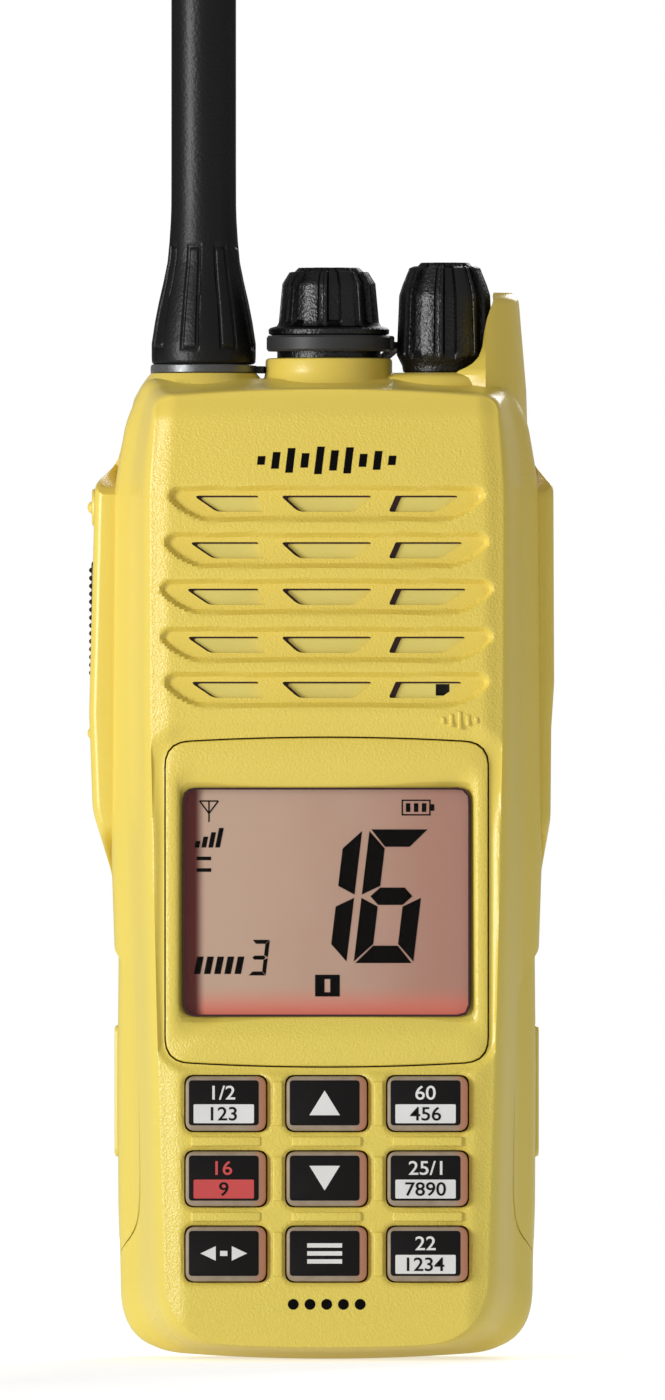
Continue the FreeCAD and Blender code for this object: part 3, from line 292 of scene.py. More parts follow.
def block(low, high, bevel=0.0):
    """A box, with its edges cut at 45 degrees when bevel is given."""
    low, high = np.array(low, float), np.array(high, float)
    work = bmesh.new()
    bmesh.ops.create_cube(work, size=1)
    for vert in work.verts:
        vert.co = Vector((low + high) / 2) + Vector(np.array(vert.co) * (high - low))
    if bevel:
        bmesh.ops.bevel(work, geom=work.edges[:], offset=bevel, segments=3, profile=0.5, affect="EDGES")
    work.verts.index_update()
    points = np.array([vert.co[:] for vert in work.verts])
    faces = [tuple(vert.index for vert in face.verts) for face in work.faces]
    work.free()
    return points, faces


def rounded_rectangle(half_x, half_z, radius, x=0.0, z=0.0, steps=6):
    corners = [(x + half_x, z - half_z, radius), (x + half_x, z + half_z, radius),
               (x - half_x, z + half_z, radius), (x - half_x, z - half_z, radius)]
    return rounded_loop(corners, steps)[0]


def combined(target, tools, operation):
    """target with a union or difference of each tool in turn; a tool is an object or (points, faces)."""
    for shape in tools:
        tool = mesh_object("tool", shape[0], shape[1], []) if isinstance(shape, tuple) else shape
        modifier = target.modifiers.new("boolean", "BOOLEAN")
        modifier.operation, modifier.solver, modifier.object = operation, "EXACT", tool
        depsgraph = bpy.context.evaluated_depsgraph_get()
        result = bpy.data.meshes.new_from_object(target.evaluated_get(depsgraph))
        target.modifiers.clear()
        old = target.data
        target.data = result
        bpy.data.meshes.remove(old)
        bpy.data.objects.remove(tool)
    tidy_mesh(target)
    return target


def smoothstep(low, high, value):
    t = np.clip((value - low) / (high - low), 0, 1)
    return t * t * (3 - 2 * t)


# ---------------------------------------------------------------- materials


class Look:
    """A material and the shader nodes that colour it."""

    def __init__(self, name, base="Principled BSDF"):
        self.material = bpy.data.materials.new(name)
        self.material.use_nodes = True
        self.nodes = self.material.node_tree.nodes
        self.links = self.material.node_tree.links
        self.shader = self.nodes[base]

    def add(self, kind, **values):
        """A new node; each value sets the input of that name, with _ for a space."""
        node = self.nodes.new("ShaderNode" + kind)
        for name, value in values.items():
            node.inputs[name.replace("_", " ")].default_value = value
        return node

    def feed(self, source, *names):
        for name in names:
            self.links.new(source, self.shader.inputs[name])

    def math(self, operation, source, second, third):
        node = self.add("Math")
        node.operation = operation
        node.inputs[1].default_value, node.inputs[2].default_value = second, third
        self.links.new(source, node.inputs[0])
        return node.outputs["Value"]

    def noise(self, scale, detail=3.0):
        """Noise over the object's own coordinates; scale is in features per metre."""
        texture = self.add("TexNoise", Scale=scale, Detail=detail)
        self.links.new(self.add("TexCoord").outputs["Object"], texture.inputs["Vector"])
        return texture.outputs["Fac"]

    def ramp(self, source, low, high, first, last):
        """A colour that goes from first to last as the source goes from low to high; a number is a grey."""
        node = self.add("ValToRGB")
        for element, place, colour in zip(node.color_ramp.elements, (low, high), (first, last)):
            element.position = place
            element.color = (*colour, 1) if isinstance(colour, tuple) else (colour, colour, colour, 1)
        self.links.new(source, node.inputs["Fac"])
        return node.outputs["Color"]

    def bump(self, height, strength, distance):
        node = self.add("Bump", Strength=strength, Distance=distance)
        self.links.new(height, node.inputs["Height"])
        self.feed(node.outputs["Normal"], "Normal")
        return node

    def coordinate(self, axis):
        """The object's own coordinate along one axis, in metres."""
        split = self.add("SeparateXYZ")
        self.links.new(self.add("TexCoord").outputs["Object"], split.inputs["Vector"])
        return split.outputs[axis]

    def across(self, axis, low, high):
        """0 to 1 as the object's own coordinate goes between two places, in millimetres."""
        return self.remapped(self.coordinate(axis), low, high)

    def remapped(self, source, low, high):
        node = self.add("MapRange", From_Min=low * MM, From_Max=high * MM)
        node.interpolation_type = "SMOOTHSTEP"
        self.links.new(source, node.inputs["Value"])
        return node.outputs["Result"]

    def mixed(self, factor, first, second):
        """A colour mix; first and second are colours or sockets."""
        node = self.add("Mix")
        node.data_type = "RGBA"
        for socket, value in (("A", first), ("B", second)):
            target = next(i for i in node.inputs if i.name == socket and i.type == "RGBA")
            if isinstance(value, tuple):
                target.default_value = (*value, 1)
            else:
                self.links.new(value, target)
        self.links.new(factor, node.inputs[0])
        return next(o for o in node.outputs if o.type == "RGBA")

    def if_seen(self, seen, lit):
        """One value for what the camera sees, another for what lights the object."""
        return self.math("MULTIPLY_ADD", self.add("LightPath").outputs["Is Camera Ray"], seen - lit, lit)


def plastic(name, colour, roughness, grain_scale=3600.0, grain=0.25, grain_depth=0.00004, variation=0.06,
            specular=0.5):
    """Moulded plastic or rubber: fine grain in the surface, faint colour and gloss variation."""
    look = Look(name)
    look.shader.inputs["Specular IOR Level"].default_value = specular
    broad = look.noise(BROAD_SCALE, 2.0)
    dark, light = (tuple(min(1.0, c * share) for c in colour) for share in (1 - variation, 1 + variation))
    look.feed(look.ramp(broad, 0.3, 0.7, dark, light), "Base Color")
    look.feed(look.ramp(broad, 0.3, 0.7, roughness * 0.92, roughness * 1.08), "Roughness")
    look.bump(look.noise(grain_scale, 2.0), grain, grain_depth)
    return look.material


def rubber(name, roughness, specular, **grain):
    """Black rubber whose sheen fades where the surface turns away from the eye."""
    material = plastic(name, (0.003, 0.003, 0.0035), roughness, **grain)
    nodes, links = material.node_tree.nodes, material.node_tree.links
    weight = nodes.new("ShaderNodeLayerWeight")
    fade = nodes.new("ShaderNodeMapRange")
    for name, value in (("From Min", 0.12), ("From Max", 0.62), ("To Min", specular), ("To Max", 0.03)):
        fade.inputs[name].default_value = value
    links.new(weight.outputs["Facing"], fade.inputs["Value"])
    links.new(fade.outputs["Result"], nodes["Principled BSDF"].inputs["Specular IOR Level"])
    return material


def metal(name, colour, roughness, grain_scale=2500.0, grain=0.1, metallic=1.0):
    """Plated or machined metal with fine tool marks and uneven polish."""
    look = Look(name)
    look.shader.inputs["Metallic"].default_value = metallic
    fine = look.noise(grain_scale, 4.0)
    look.feed(look.ramp(fine, 0.25, 0.75, tuple(0.85 * c for c in colour), colour), "Base Color")
    look.feed(look.ramp(fine, 0.3, 0.7, roughness * 0.8, roughness * 1.2), "Roughness")
    look.bump(fine, grain, 0.00002)
    return look.material


def case_plastic():
    """Yellow case plastic: coarse sparkling grain on the front face, a finer one elsewhere, and painted light
    in the colour.
    """
    look = Look("yellow_plastic")
    broad = look.noise(BROAD_SCALE, 2.0)
    # Painted light: lighter and greener towards the foot, more orange towards the top, for floor bounce below
    # and warmer light above.
    low = look.mixed(look.across("Z", 20.0, 125.0), (0.82, 0.67, 0.122), (0.81, 0.60, 0.100))
    look.feed(look.mixed(broad, low, (0.82, 0.65, 0.115)), "Base Color")
    look.feed(look.ramp(broad, 0.3, 0.7, 0.27, 0.33), "Roughness")
    strength = look.math("MULTIPLY_ADD", look.across("Y", -16.3, -16.9), 0.75, 0.15)
    bump = look.bump(look.noise(3200.0, 2.0), 1.0, 0.00013)
    look.links.new(strength, bump.inputs["Strength"])
    return look.material


def key_silicone():
    """Back-lit translucent silicone: warm grey skin; the backlight's red glow is painted on each key's shaded
    right side.
    """
    look = Look("key_silicone")
    look.shader.inputs["Roughness"].default_value = 0.42
    wrapped = look.math("WRAP", look.coordinate("X"), KEY_PITCH * MM / 2, -KEY_PITCH * MM / 2)
    skin = look.ramp(look.noise(500.0), 0.3, 0.7, (0.24, 0.185, 0.13), (0.31, 0.24, 0.175))
    # Painted light: the backlight's red, in colour and emission, on the right side of each key, the side in
    # shade.
    tint = look.mixed(look.remapped(wrapped, 3.2, 5.4), skin, (0.38, 0.16, 0.09))
    look.feed(tint, "Base Color", "Emission Color")
    look.shader.inputs["Emission Strength"].default_value = 0.18
    look.bump(look.noise(2600.0), 0.2, 0.00003)
    return look.material


# Tints over the display's field: axis, where each begins and where it is full, and its colour.
# The last tint, dark red at the field's far left, is painted shade along the field's left edge.
LCD_TINTS = (("X", 6.0, -17.0, (0.47, 0.34, 0.26)), ("X", 2.0, 17.0, (0.37, 0.20, 0.155)),
             ("Z", 51.0, 45.6, (0.64, 0.15, 0.105)), ("X", -16.6, -18.2, (0.10, 0.012, 0.010)))


def lcd_glass():
    """Back-lit display: warm grey field, a dark red strip of painted shade at the left and a red glow along
    the foot.
    """
    look = Look("lcd_glass")
    look.shader.inputs["Roughness"].default_value = 0.3
    tint = look.ramp(look.noise(90.0, 2.0), 0.3, 0.7, (0.41, 0.265, 0.20), (0.44, 0.295, 0.235))
    for axis, low, high, colour in LCD_TINTS:
        tint = look.mixed(look.across(axis, low, high), tint, colour)
    look.feed(tint, "Base Color", "Emission Color")
    look.shader.inputs["Emission Strength"].default_value = 0.38
    return look.material


def clear_window():
    """Clear lens: mostly see-through, with a faint reflection and a trace of haze."""
    look = Look("clear_window")
    look.nodes.remove(look.shader)
    see_through = look.add("BsdfTransparent", Color=(0.97, 0.96, 0.95, 1))
    gloss = look.add("BsdfGlossy")
    look.links.new(look.ramp(look.noise(120.0), 0.3, 0.7, 0.06, 0.12), gloss.inputs["Roughness"])
    mix = look.add("MixShader")
    look.links.new(look.add("Fresnel", IOR=1.16).outputs["Fac"], mix.inputs["Fac"])
    look.links.new(see_through.outputs["BSDF"], mix.inputs[1])
    look.links.new(gloss.outputs["BSDF"], mix.inputs[2])
    look.links.new(mix.outputs["Shader"], look.nodes["Material Output"].inputs["Surface"])
    return look.material


YELLOW = case_plastic()
YELLOW_INNER = plastic("yellow_inner_plastic", (0.72, 0.62, 0.16), 0.55, grain_scale=3000.0, grain=0.35)
BLACK_RUBBER = rubber("black_rubber", 0.32, 0.5, grain_scale=2400.0, grain=1.0, grain_depth=0.00013,
                      variation=0.2)
WHIP_RUBBER = rubber("whip_rubber", 0.42, 0.34, grain_scale=2200.0, grain=0.7, grain_depth=0.00008,
                     variation=0.15)
GREY_RUBBER = plastic("grey_rubber", (0.032, 0.033, 0.035), 0.5, grain=0.3, specular=0.4)
BLACK_PLASTIC = plastic("black_plastic", (0.009, 0.009, 0.010), 0.42, grain=0.5, specular=0.4)
KEY_PRINT = plastic("key_print", (0.009, 0.008, 0.008), 0.5, grain=0.1, specular=0.1)
PRINT_WHITE = plastic("print_white", (0.76, 0.76, 0.75), 0.5, grain=0.05)
PRINT_RED = plastic("print_red", (0.62, 0.07, 0.07), 0.5, grain=0.05)
# Dark maroon for the window's edge strip, and as painted shadow behind the grille slots.
GASKET_AND_SLOT_SHADE_MAROON = plastic("window_gasket", (0.035, 0.006, 0.008), 0.4, grain=0.1)
INK = plastic("printed_ink", (0.0025, 0.0022, 0.002), 0.6, grain=0.1, specular=0.06)
BOARD_GREEN = plastic("board_green", (0.01, 0.10, 0.04), 0.35, grain_scale=900.0, grain=0.2)
SPEAKER_PAPER = plastic("speaker_paper", (0.03, 0.03, 0.03), 0.8, grain_scale=1500.0, grain=0.6)
WHITE_PLASTIC = plastic("white_plastic", (0.75, 0.72, 0.68), 0.5, grain=0.15)
STEEL = metal("plated_steel", (0.55, 0.55, 0.56), 0.28)
GREY_METAL = metal("grey_metal", (0.16, 0.165, 0.17), 0.38, grain=0.4, metallic=0.8)
CAST_ALLOY = metal("cast_alloy", (0.50, 0.50, 0.51), 0.5, grain_scale=1800.0, grain=0.6)
BRASS = metal("machined_brass", (0.70, 0.50, 0.22), 0.25)
KEY_SILICONE = key_silicone()
LCD_GLASS = lcd_glass()
CLEAR_WINDOW = clear_window()


# ---------------------------------------------------------------- front shell

FACE_ACROSS, FACE_ALONG = 140, 380
SIDE_CORNERS = ((28.3, 0.0, 8.6), (29.1, 50.0, 60.0), (29.7, 68.0, 60.0), (29.3, 119.0, 30.0),
                (27.7, 128.3, 14.0), (25.0, BODY_TOP, 2.4))
FACE_TOP = (23.4, 131.2)
FACE_CORNERS = ((21.9, 1.8, 9.0), (23.3, 48.0, 90.0), (24.2, 90.0, 90.0), (24.3, 119.0, 60.0),
                (*FACE_TOP, 2.6))
FACE_BOW = 1.3
FOOT_BOW = 1.1
FOOT_BOW_HALF, FOOT_BOW_TOP = 24.0, 9.5


def with_foot_bow(loop):
    """The bottom of the radio bows down towards its middle."""
    across = np.clip(np.abs(loop[:, 0]) / FOOT_BOW_HALF, 0, 1)
    bow = FOOT_BOW * (1 - across ** 2) * smoothstep(FOOT_BOW_TOP, 0.0, loop[:, 1])
    return loop - np.stack([0 * bow, bow], axis=1)


def face_outline():
    """The face's edge; its top bows up towards the middle."""
    corners = mirrored_corners(FACE_CORNERS)
    loop = with_foot_bow(gridded_loop(corners, len(FACE_CORNERS) - 1, FACE_ACROSS, FACE_ALONG))
    bow = FACE_BOW * (1 - (loop[:, 0] / FACE_TOP[0]) ** 2) * smoothstep(124.0, FACE_TOP[1], loop[:, 1])
    return loop + np.stack([0 * bow, bow], axis=1)


def side_outline():
    corners = mirrored_corners(SIDE_CORNERS)
    return with_foot_bow(gridded_loop(corners, len(SIDE_CORNERS) - 1, FACE_ACROSS, FACE_ALONG))


def box_distance(x, z, half_x, half_z, radius):
    """Signed distance to a rounded rectangle centred on the origin, negative inside."""
    dx, dz = np.abs(x) - half_x + radius, np.abs(z) - half_z + radius
    outside = np.hypot(np.maximum(dx, 0), np.maximum(dz, 0))
    return outside + np.minimum(np.maximum(dx, dz), 0) - radius


def groove_relief(x, z):
    """Five shallow boat-shaped grooves; each is wide at its top and narrows downwards."""
    relief = np.zeros_like(x)
    for centre, tip in GRILLE_ROWS:
        drop = np.clip((centre + GROOVE_SHOULDER - z) / (GROOVE_HALF_HEIGHT + GROOVE_SHOULDER), 0, 1)
        half = tip - GROOVE_NARROWING * drop ** 1.5
        distance = box_distance(x * tip / half, z - centre, tip, GROOVE_HALF_HEIGHT, 1.7)
        relief = np.maximum(relief, GROOVE_DEPTH * smoothstep(0.1, -0.75, distance))
    return relief


def bezel_distance(x, z):
    """Signed distance to the bezel's seam: a rounded rectangle with gently bowed top and foot."""
    half_x, half_z = BEZEL_HALF
    bowed_half = half_z + BEZEL_ARCH * (1 - (x / half_x) ** 2)
    return box_distance(x, (z - BEZEL_CENTRE_Z) * half_z / bowed_half, half_x, half_z, BEZEL_RADIUS)


def bezel_recess(x, z):
    """The face dips towards the bezel seam all round."""
    width = 1.7 + 1.6 * smoothstep(70.0, 84.0, z)
    return 0.85 * smoothstep(width, 0.25, bezel_distance(x, z))


def key_edge_relief(x, z):
    """Rolled edges round the key openings."""
    relief = np.zeros_like(x)
    for key_x, key_z in key_centres():
        distance = box_distance(x - key_x, z - key_z, *KEY_OPENING_HALF, KEY_RADIUS)
        relief = np.maximum(relief, 0.45 * smoothstep(0.75, -0.1, distance) ** 2)
    return relief


def half_width(corners, z):
    """How far from the middle an outline's corners are at a height, with straight lines between them."""
    across, heights, _ = np.array(corners).T
    return np.interp(z, heights, across)


def face_depth(x, z):
    """Depth of the front face before any relief: crowned, leaning back at its top, rolled at its edges."""
    lean = 1.5 * smoothstep(114.0, 136.0, z) ** 1.5 + 0.9 * smoothstep(128.4, 132.6, z)
    foot = 0.6 * smoothstep(5.5, 0.8, z)
    half = half_width(FACE_CORNERS, z)
    roll = 0.8 * smoothstep(half - 2.9, half + 0.5, np.abs(x))
    return FACE_Y + FACE_CROWN * (x / 24.0) ** 2 + lean + foot + roll


def face_surface(x, z):
    return face_depth(x, z) + groove_relief(x, z) + bezel_recess(x, z) + key_edge_relief(x, z)


# How the side wall meets the face: share of the way from the silhouette to the face's edge, and depth.
SIDE_PROFILE = ((0.0, PARTING_Y), (0.0, -3.2), (0.02, -4.2), (0.07, -5.1), (0.16, -6.0), (0.28, -7.0),
                (0.38, -7.9), (0.45, -8.8), (0.51, -9.9), (0.58, -11.3), (0.67, -13.1), (0.76, -14.7),
                (0.83, -15.65), (0.89, -16.2), (0.94, -16.53), (0.98, -16.72))
INNER_PROFILE = ((1.35, -15.3), (1.1, -13.4), (0.7, -8.0), (0.42, -3.0), (0.4, PARTING_Y))


def skin_over_grid(patch, surface, rings):
    """A gridded face on a surface, joined to rings that end in a cap; patch and rings share their outline."""
    x, z = patch[..., 0], patch[..., 1]
    across, along = x.shape[0] - 1, x.shape[1] - 1
    grid = np.stack([x, surface(x, z), z], axis=-1).reshape(-1, 3)
    index = np.arange(len(grid)).reshape(x.shape)
    faces = [(index[i, j], index[i, j + 1], index[i + 1, j + 1], index[i + 1, j])
             for i in range(across) for j in range(along)]
    border = [index[i, j] for i, j in border_order(across, along)]
    ring_points, ring_faces = loft(rings, cap_first=False)
    base, count = len(grid), len(border)
    faces += [tuple(base + k for k in face) for face in ring_faces]
    faces += [(border[k], border[(k + 1) % count], base + (k + 1) % count, base + k) for k in range(count)]
    return np.concatenate([grid, ring_points]), faces


def front_shell_skin():
    outer, inner = side_outline(), face_outline()
    edge_shift = face_depth(inner[:, 0], inner[:, 1]) - FACE_EDGE_Y
    rings = [at_depth(outer + (inner - outer) * share, depth + share ** 2 * edge_shift)
             for share, depth in reversed(SIDE_PROFILE)]
    rings += [at_depth(outer + (inner - outer) * share, depth) for share, depth in reversed(INNER_PROFILE)]
    return skin_over_grid(patch_from_loop(inner, FACE_ACROSS, FACE_ALONG), face_surface, rings)


def slot_loop(left_top, right_top, left_foot, right_foot, z, left_radius, right_radius):
    """A grille slot with sharp upper corners, each lower one sharp or swept."""
    top, foot = z + SLOT_HALF_HEIGHT, z - SLOT_HALF_HEIGHT
    corners = ((right_foot, foot, right_radius), (right_top, top, SHARP), (left_top, top, SHARP),
               (left_foot, foot, left_radius))
    return rounded_loop(corners)[0]


def grille_slot_parts():
    parts = []
    for (z, _), end in zip(GRILLE_ROWS, SLOT_ENDS):
        loops = [slot_loop(-6.4, 6.4, -3.9, 3.9, z, SWEPT, SWEPT),
                 slot_loop(-end, -9.5, -end + 3.3, -8.5, z, SWEPT, SHARP),
                 slot_loop(9.5, end, 8.5, end - 3.3, z, SHARP, SWEPT)]
        parts += [prism(loop, FACE_Y - 2, FACE_Y + 3.5) for loop in loops]
    return parts


def bezel_loop(inset=0.0):
    """The bezel's outline with bowed top and foot, inset from the seam."""
    half_x, half_z = BEZEL_HALF[0] - inset, BEZEL_HALF[1] - inset
    radius = BEZEL_RADIUS - min(inset, 2.0) * 0.6
    loop = evenly_spaced(rounded_rectangle(half_x, half_z, radius, 0.0, 0.0, 10), BEZEL_POINTS)
    bow = BEZEL_ARCH * (1 - (loop[:, 0] / BEZEL_HALF[0]) ** 2) * loop[:, 1] / half_z
    return np.stack([loop[:, 0], loop[:, 1] + bow + BEZEL_CENTRE_Z], axis=1)


def raised_bar(x, z, half_x, half_z, height):
    """A bar standing out of the front face, with bevelled edges."""
    front = float(face_depth(x, z)) - height
    return block((x - half_x, front, z - half_z), (x + half_x, front + 1.6, z + half_z), 0.22)


def face_bars():
    """Guide ribs between the keys, and a small sound mark beside the microphone's slot."""
    bars = [raised_bar(x, z, 0.68, 3.05, 0.32) for x in (-6.75, 7.1) for z in KEY_ROWS]
    bars += [raised_bar(x, z, 4.8, 0.66, 0.32) for x in KEY_COLUMNS for z in (29.1, 18.75)]
    bars += [raised_bar(16.0 + 1.15 * number, 87.0, 0.3, half, 0.22)
             for number, half in enumerate((0.5, 0.9, 1.25, 0.8, 0.45))]
    return joined(bars)


def key_centres():
    return [(x, z) for z in KEY_ROWS for x in KEY_COLUMNS]


def face_cutters():
    parts = grille_slot_parts()
    parts.append(prism(bezel_loop(-0.14), FACE_Y - 3, -12.0))
    for x, z in key_centres():
        parts.append(prism(rounded_rectangle(*KEY_OPENING_HALF, KEY_RADIUS, x, z), FACE_Y - 2, -14.0))
    return joined(parts)


def baffle_pocket():
    return block(baffle_low - (0.1, 0.06, 0.1), baffle_high + (0.1, 0.5, 0.1))


# Half of the angle that the knob guard spans, in degrees, by height.
HORN_SPREAD = ((128.0, 84.0), (134.7, 80.0), (135.2, 75.0), (136.0, 61.0), (137.1, 51.0), (138.6, 45.6),
               (140.7, 42.4), (142.5, 38.0), (144.0, 31.0), (145.0, 24.0), (145.6, 17.0), (146.0, 9.0))
HORN_LEVELS = (128.0, 132.5, *np.linspace(134.7, 145.0, 22), 145.3, 145.55, 145.75, 145.9, 146.0)
HORN_INNER, HORN_OUTER, HORN_TAPER = 7.4, 11.4, 1.25
HORN_EDGE_X = 21.9


def horn_rings():
    """Sections of the guard round the knob, from its wide foot to its blunt top."""
    heights, spreads = np.array(HORN_SPREAD).T
    rings = []
    for z in HORN_LEVELS:
        spread = math.radians(np.interp(z, heights, spreads))
        outer_radius = HORN_OUTER - HORN_TAPER * np.clip((z - 131.0) / 15.0, 0, 1)
        edge = max(HORN_INNER * math.cos(spread), HORN_EDGE_X - KNOB_X)
        outer_spread = math.acos(edge / outer_radius)
        inset = 0.8 * smoothstep(144.8, 146.0, z)
        sides = ((HORN_INNER + inset, -spread, spread), (outer_radius - inset, outer_spread, -outer_spread))
        rings.append(np.array([(KNOB_X + radius * math.cos(a), TOP_Y + radius * math.sin(a), z)
                               for radius, start, end in sides for a in np.linspace(start, end, 25)]))
    return rings


def deck_part():
    """The roof slab behind the parting line."""
    loop = rounded_loop(((DECK_HALF, 0.0, 1.0), (DECK_HALF, 10.3, 3.5), (-DECK_HALF, 10.3, 3.5),
                         (-DECK_HALF, 0.0, 1.0)))[0]
    centre = np.array([0.0, 5.0])
    rings = []
    for inset, z in ((0.0, DECK_LOW), (0.0, BODY_TOP - 0.7), (0.2, BODY_TOP - 0.2), (0.7, BODY_TOP)):
        flat = centre + (loop - centre) * (1 - inset / np.array([DECK_HALF, 5.2]))
        rings.append(np.column_stack([flat, np.full(len(flat), z)]))
    return loft(rings)


def top_parts():
    """The roof slab, the three seats on it and the knob's guard."""
    seat_profile = ((10.2, 129.0), (9.6, 131.4), (8.6, 133.2), (7.9, 134.2), (7.3, washer_low[2]))
    collar_profile = ((9.9, 131.5), (9.5, 133.2), (8.95, 134.3), (8.75, 135.2), (8.75, 136.6), (8.6, 136.88),
                      (8.3, 137.0))
    foot_profile = ((9.6, 131.5), (9.5, 133.4), (9.0, 134.3), (8.2, 134.72), (7.2, knob_low[2] - TOUCH))
    seat = turned(ANTENNA_X, TOP_Y, seat_profile, 72)
    collar = turned(CAP_X, TOP_Y, collar_profile)
    knob_foot = turned(KNOB_X, TOP_Y, foot_profile)
    return [deck_part(), seat, collar, knob_foot, loft(horn_rings())]


WING_TIP_Y, WING_FOOT_Y = -9.5, 5.7
WING_MIDDLE, WING_HALF = 34.45, 24.6


def wing_reach(z):
    """How far forward the battery pack's side wings come at a height."""
    offset = np.clip(np.abs(z - WING_MIDDLE) / WING_HALF, 0, 1)
    return WING_FOOT_Y - (WING_FOOT_Y - WING_TIP_Y) * (1 - offset ** 6)


def side_surface_lean(y, z):
    """How far inside its silhouette the front shell's side lies at a depth and height."""
    shares, depths = np.array(SIDE_PROFILE).T
    share = np.interp(-y, -depths, shares)
    return share * (half_width(SIDE_CORNERS, z) - half_width(FACE_CORNERS, z))


def wing_cutter(side):
    """Room for one battery wing in the front shell's side."""
    rings = []
    for z in np.linspace(WING_MIDDLE - WING_HALF - 0.15, WING_MIDDLE + WING_HALF + 0.15, 45):
        front = float(wing_reach(z)) - 0.22
        y = np.linspace(WING_FOOT_Y, front, 16)
        depth = 1.3 + 0.75 * smoothstep(-4.0, -1.5, y)
        inner = half_width(SIDE_CORNERS, z) - side_surface_lean(y, z) - depth
        ring = [(34.0, front), (34.0, 9.0), (inner[0], 9.0)] + list(zip(inner, y))
        rings.append(np.array([(side * x, depth_y, z) for x, depth_y in ring]))
    return loft(rings)


def bore_part(x, radius, z0, z1):
    return turned(x, TOP_Y, ((radius, z0), (radius, z1)), 64)


def front_shell():
    points, faces = front_shell_skin()
    shell = mesh_object("front_shell_skin", points, faces, [YELLOW])
    parts = top_parts()
    roof = mesh_object("roof", *parts[0], [YELLOW])
    combined(roof, parts[1:], "UNION")
    combined(shell, [roof, face_bars()], "UNION")
    wings = joined([wing_cutter(1), wing_cutter(-1)])
    bores = joined([bore_part(x, radius, 126, 140) for x, radius in TOP_BORES])
    combined(shell, [face_cutters(), baffle_pocket(), wings, bores], "DIFFERENCE")
    placed(shell, "root", "case_yellow", "front_shell")


baffle_low, baffle_high = node_box("grille_baffle")
MIC_PORT = ((15.0, 90.4), (16.9, 92.0))
# Shift of the painted shadow sheet's openings from the grille slots.
SLOT_SHADOW_OFFSET = (0.75, 0.0, -0.24)


def baffle_sheet(front, back):
    """A sheet with the outline of the plate behind the grille."""
    half_z, centre_z = (baffle_high[2] - baffle_low[2]) / 2, (baffle_low[2] + baffle_high[2]) / 2
    return prism(rounded_rectangle(baffle_high[0], half_z, 2.0, 0.0, centre_z), front, back)


def grille_baffle():
    """Yellow plate close behind the grille, with the microphone's square port."""
    plate = mesh_object("grille_baffle_plate", *baffle_sheet(baffle_low[1], baffle_high[1]), [YELLOW_INNER])
    (x0, z0), (x1, z1) = MIC_PORT
    combined(plate, [block((x0, baffle_low[1] - 1, z0), (x1, baffle_high[1] + 1, z1))], "DIFFERENCE")
    placed(plate, "root", "case_yellow", "grille_baffle")


def grille_slot_shadow_sheet():
    """Painted slot shadow: dark sheet between grille and plate, its openings a little lower and to one side.
    """
    layer = baffle_sheet(baffle_low[1] - 0.02, baffle_low[1] - 0.05)
    sheet = mesh_object("grille_slot_shadow_sheet", *layer, [GASKET_AND_SLOT_SHADE_MAROON])
    openings, faces = joined(grille_slot_parts())
    # The shifted openings leave the dark sheet showing as painted shadow at each slot's left end and top.
    combined(sheet, [(openings + SLOT_SHADOW_OFFSET, faces)], "DIFFERENCE")
    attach(sheet, "root")


# ---------------------------------------------------------------- display


def screen_bezel():
    """Frame between the seam and the window: a flat land, then a slope down to the window's lip."""
    half_x, half_z = WINDOW_HALF
    outer = bezel_loop(0.06)
    window = evenly_spaced(rounded_rectangle(half_x, half_z, 1.7, 0.0, BEZEL_CENTRE_Z, 10), BEZEL_POINTS)
    sill = rounded_rectangle(half_x + 0.75, half_z + 2.6, 2.6, 0.0, BEZEL_CENTRE_Z + 0.2, 10)
    sill = evenly_spaced(sill, BEZEL_POINTS)
    land_y = face_depth(outer[:, 0], outer[:, 1]) + 0.42
    profile = [(outer, land_y + 3.0), (outer, land_y + 0.45), (outer * 0.999 + window * 0.001, land_y + 0.3),
               (outer * 0.97 + sill * 0.03, land_y + 0.12), (outer * 0.86 + sill * 0.14, land_y),
               (outer * 0.25 + sill * 0.75, land_y - 0.02), (sill, land_y + 0.12),
               (sill * 0.55 + window * 0.45, land_y + 0.62), (window * 0.9 + sill * 0.1, land_y + 1.05),
               (window, land_y + 1.2), (window, land_y + 1.9)]
    rings = [at_depth(loop, y) for loop, y in profile]
    rings.append(at_depth(window * 0.999 + outer * 0.001, -15.2))
    bezel = mesh_object("screen_bezel_frame", *loft(rings + [rings[0]], False, False), [YELLOW])
    placed(bezel, "root", "case_yellow", "screen_bezel")


def window_loop(inset, radius):
    half_x, half_z = WINDOW_HALF
    loop = rounded_rectangle(half_x - inset, half_z - inset, radius, 0.0, BEZEL_CENTRE_Z, 8)
    return evenly_spaced(loop, WINDOW_POINTS)


def window_gasket():
    """Dark edge strip round the window, just inside the bezel."""
    outer, inner = window_loop(0.0, 1.7) * 0.9999, window_loop(0.28, 1.5)
    front, back = -16.6, -15.3
    rings = [at_depth(outer, back), at_depth(outer, front), at_depth(inner, front), at_depth(inner, back)]
    gasket = mesh_object("window_gasket", *loft(rings + [rings[0]], False, False), [GASKET_AND_SLOT_SHADE_MAROON])
    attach(gasket, "root")


def lcd_panel():
    low, high = node_box("lcd_panel")
    loop = rounded_rectangle(high[0] + 0.7, (high[2] - low[2]) / 2 - 0.1, 0.6, 0.0, BEZEL_CENTRE_Z)
    panel = mesh_object("lcd_panel_glass", *prism(loop, low[1], high[1]), [LCD_GLASS])
    placed(panel, "root", "lcd_glass", "lcd_panel")


FINE = 0.2


def slanted(points, z_foot, slant=0.12):
    """Points leaned to the right like display digits."""
    return [(x + (z - z_foot) * slant, z) for x, z in points]


def flat_polygon(points, y, thick=0.06):
    """A thin closed tile from an (x, z) outline."""
    return prism(np.array(points, float), y, y + thick)


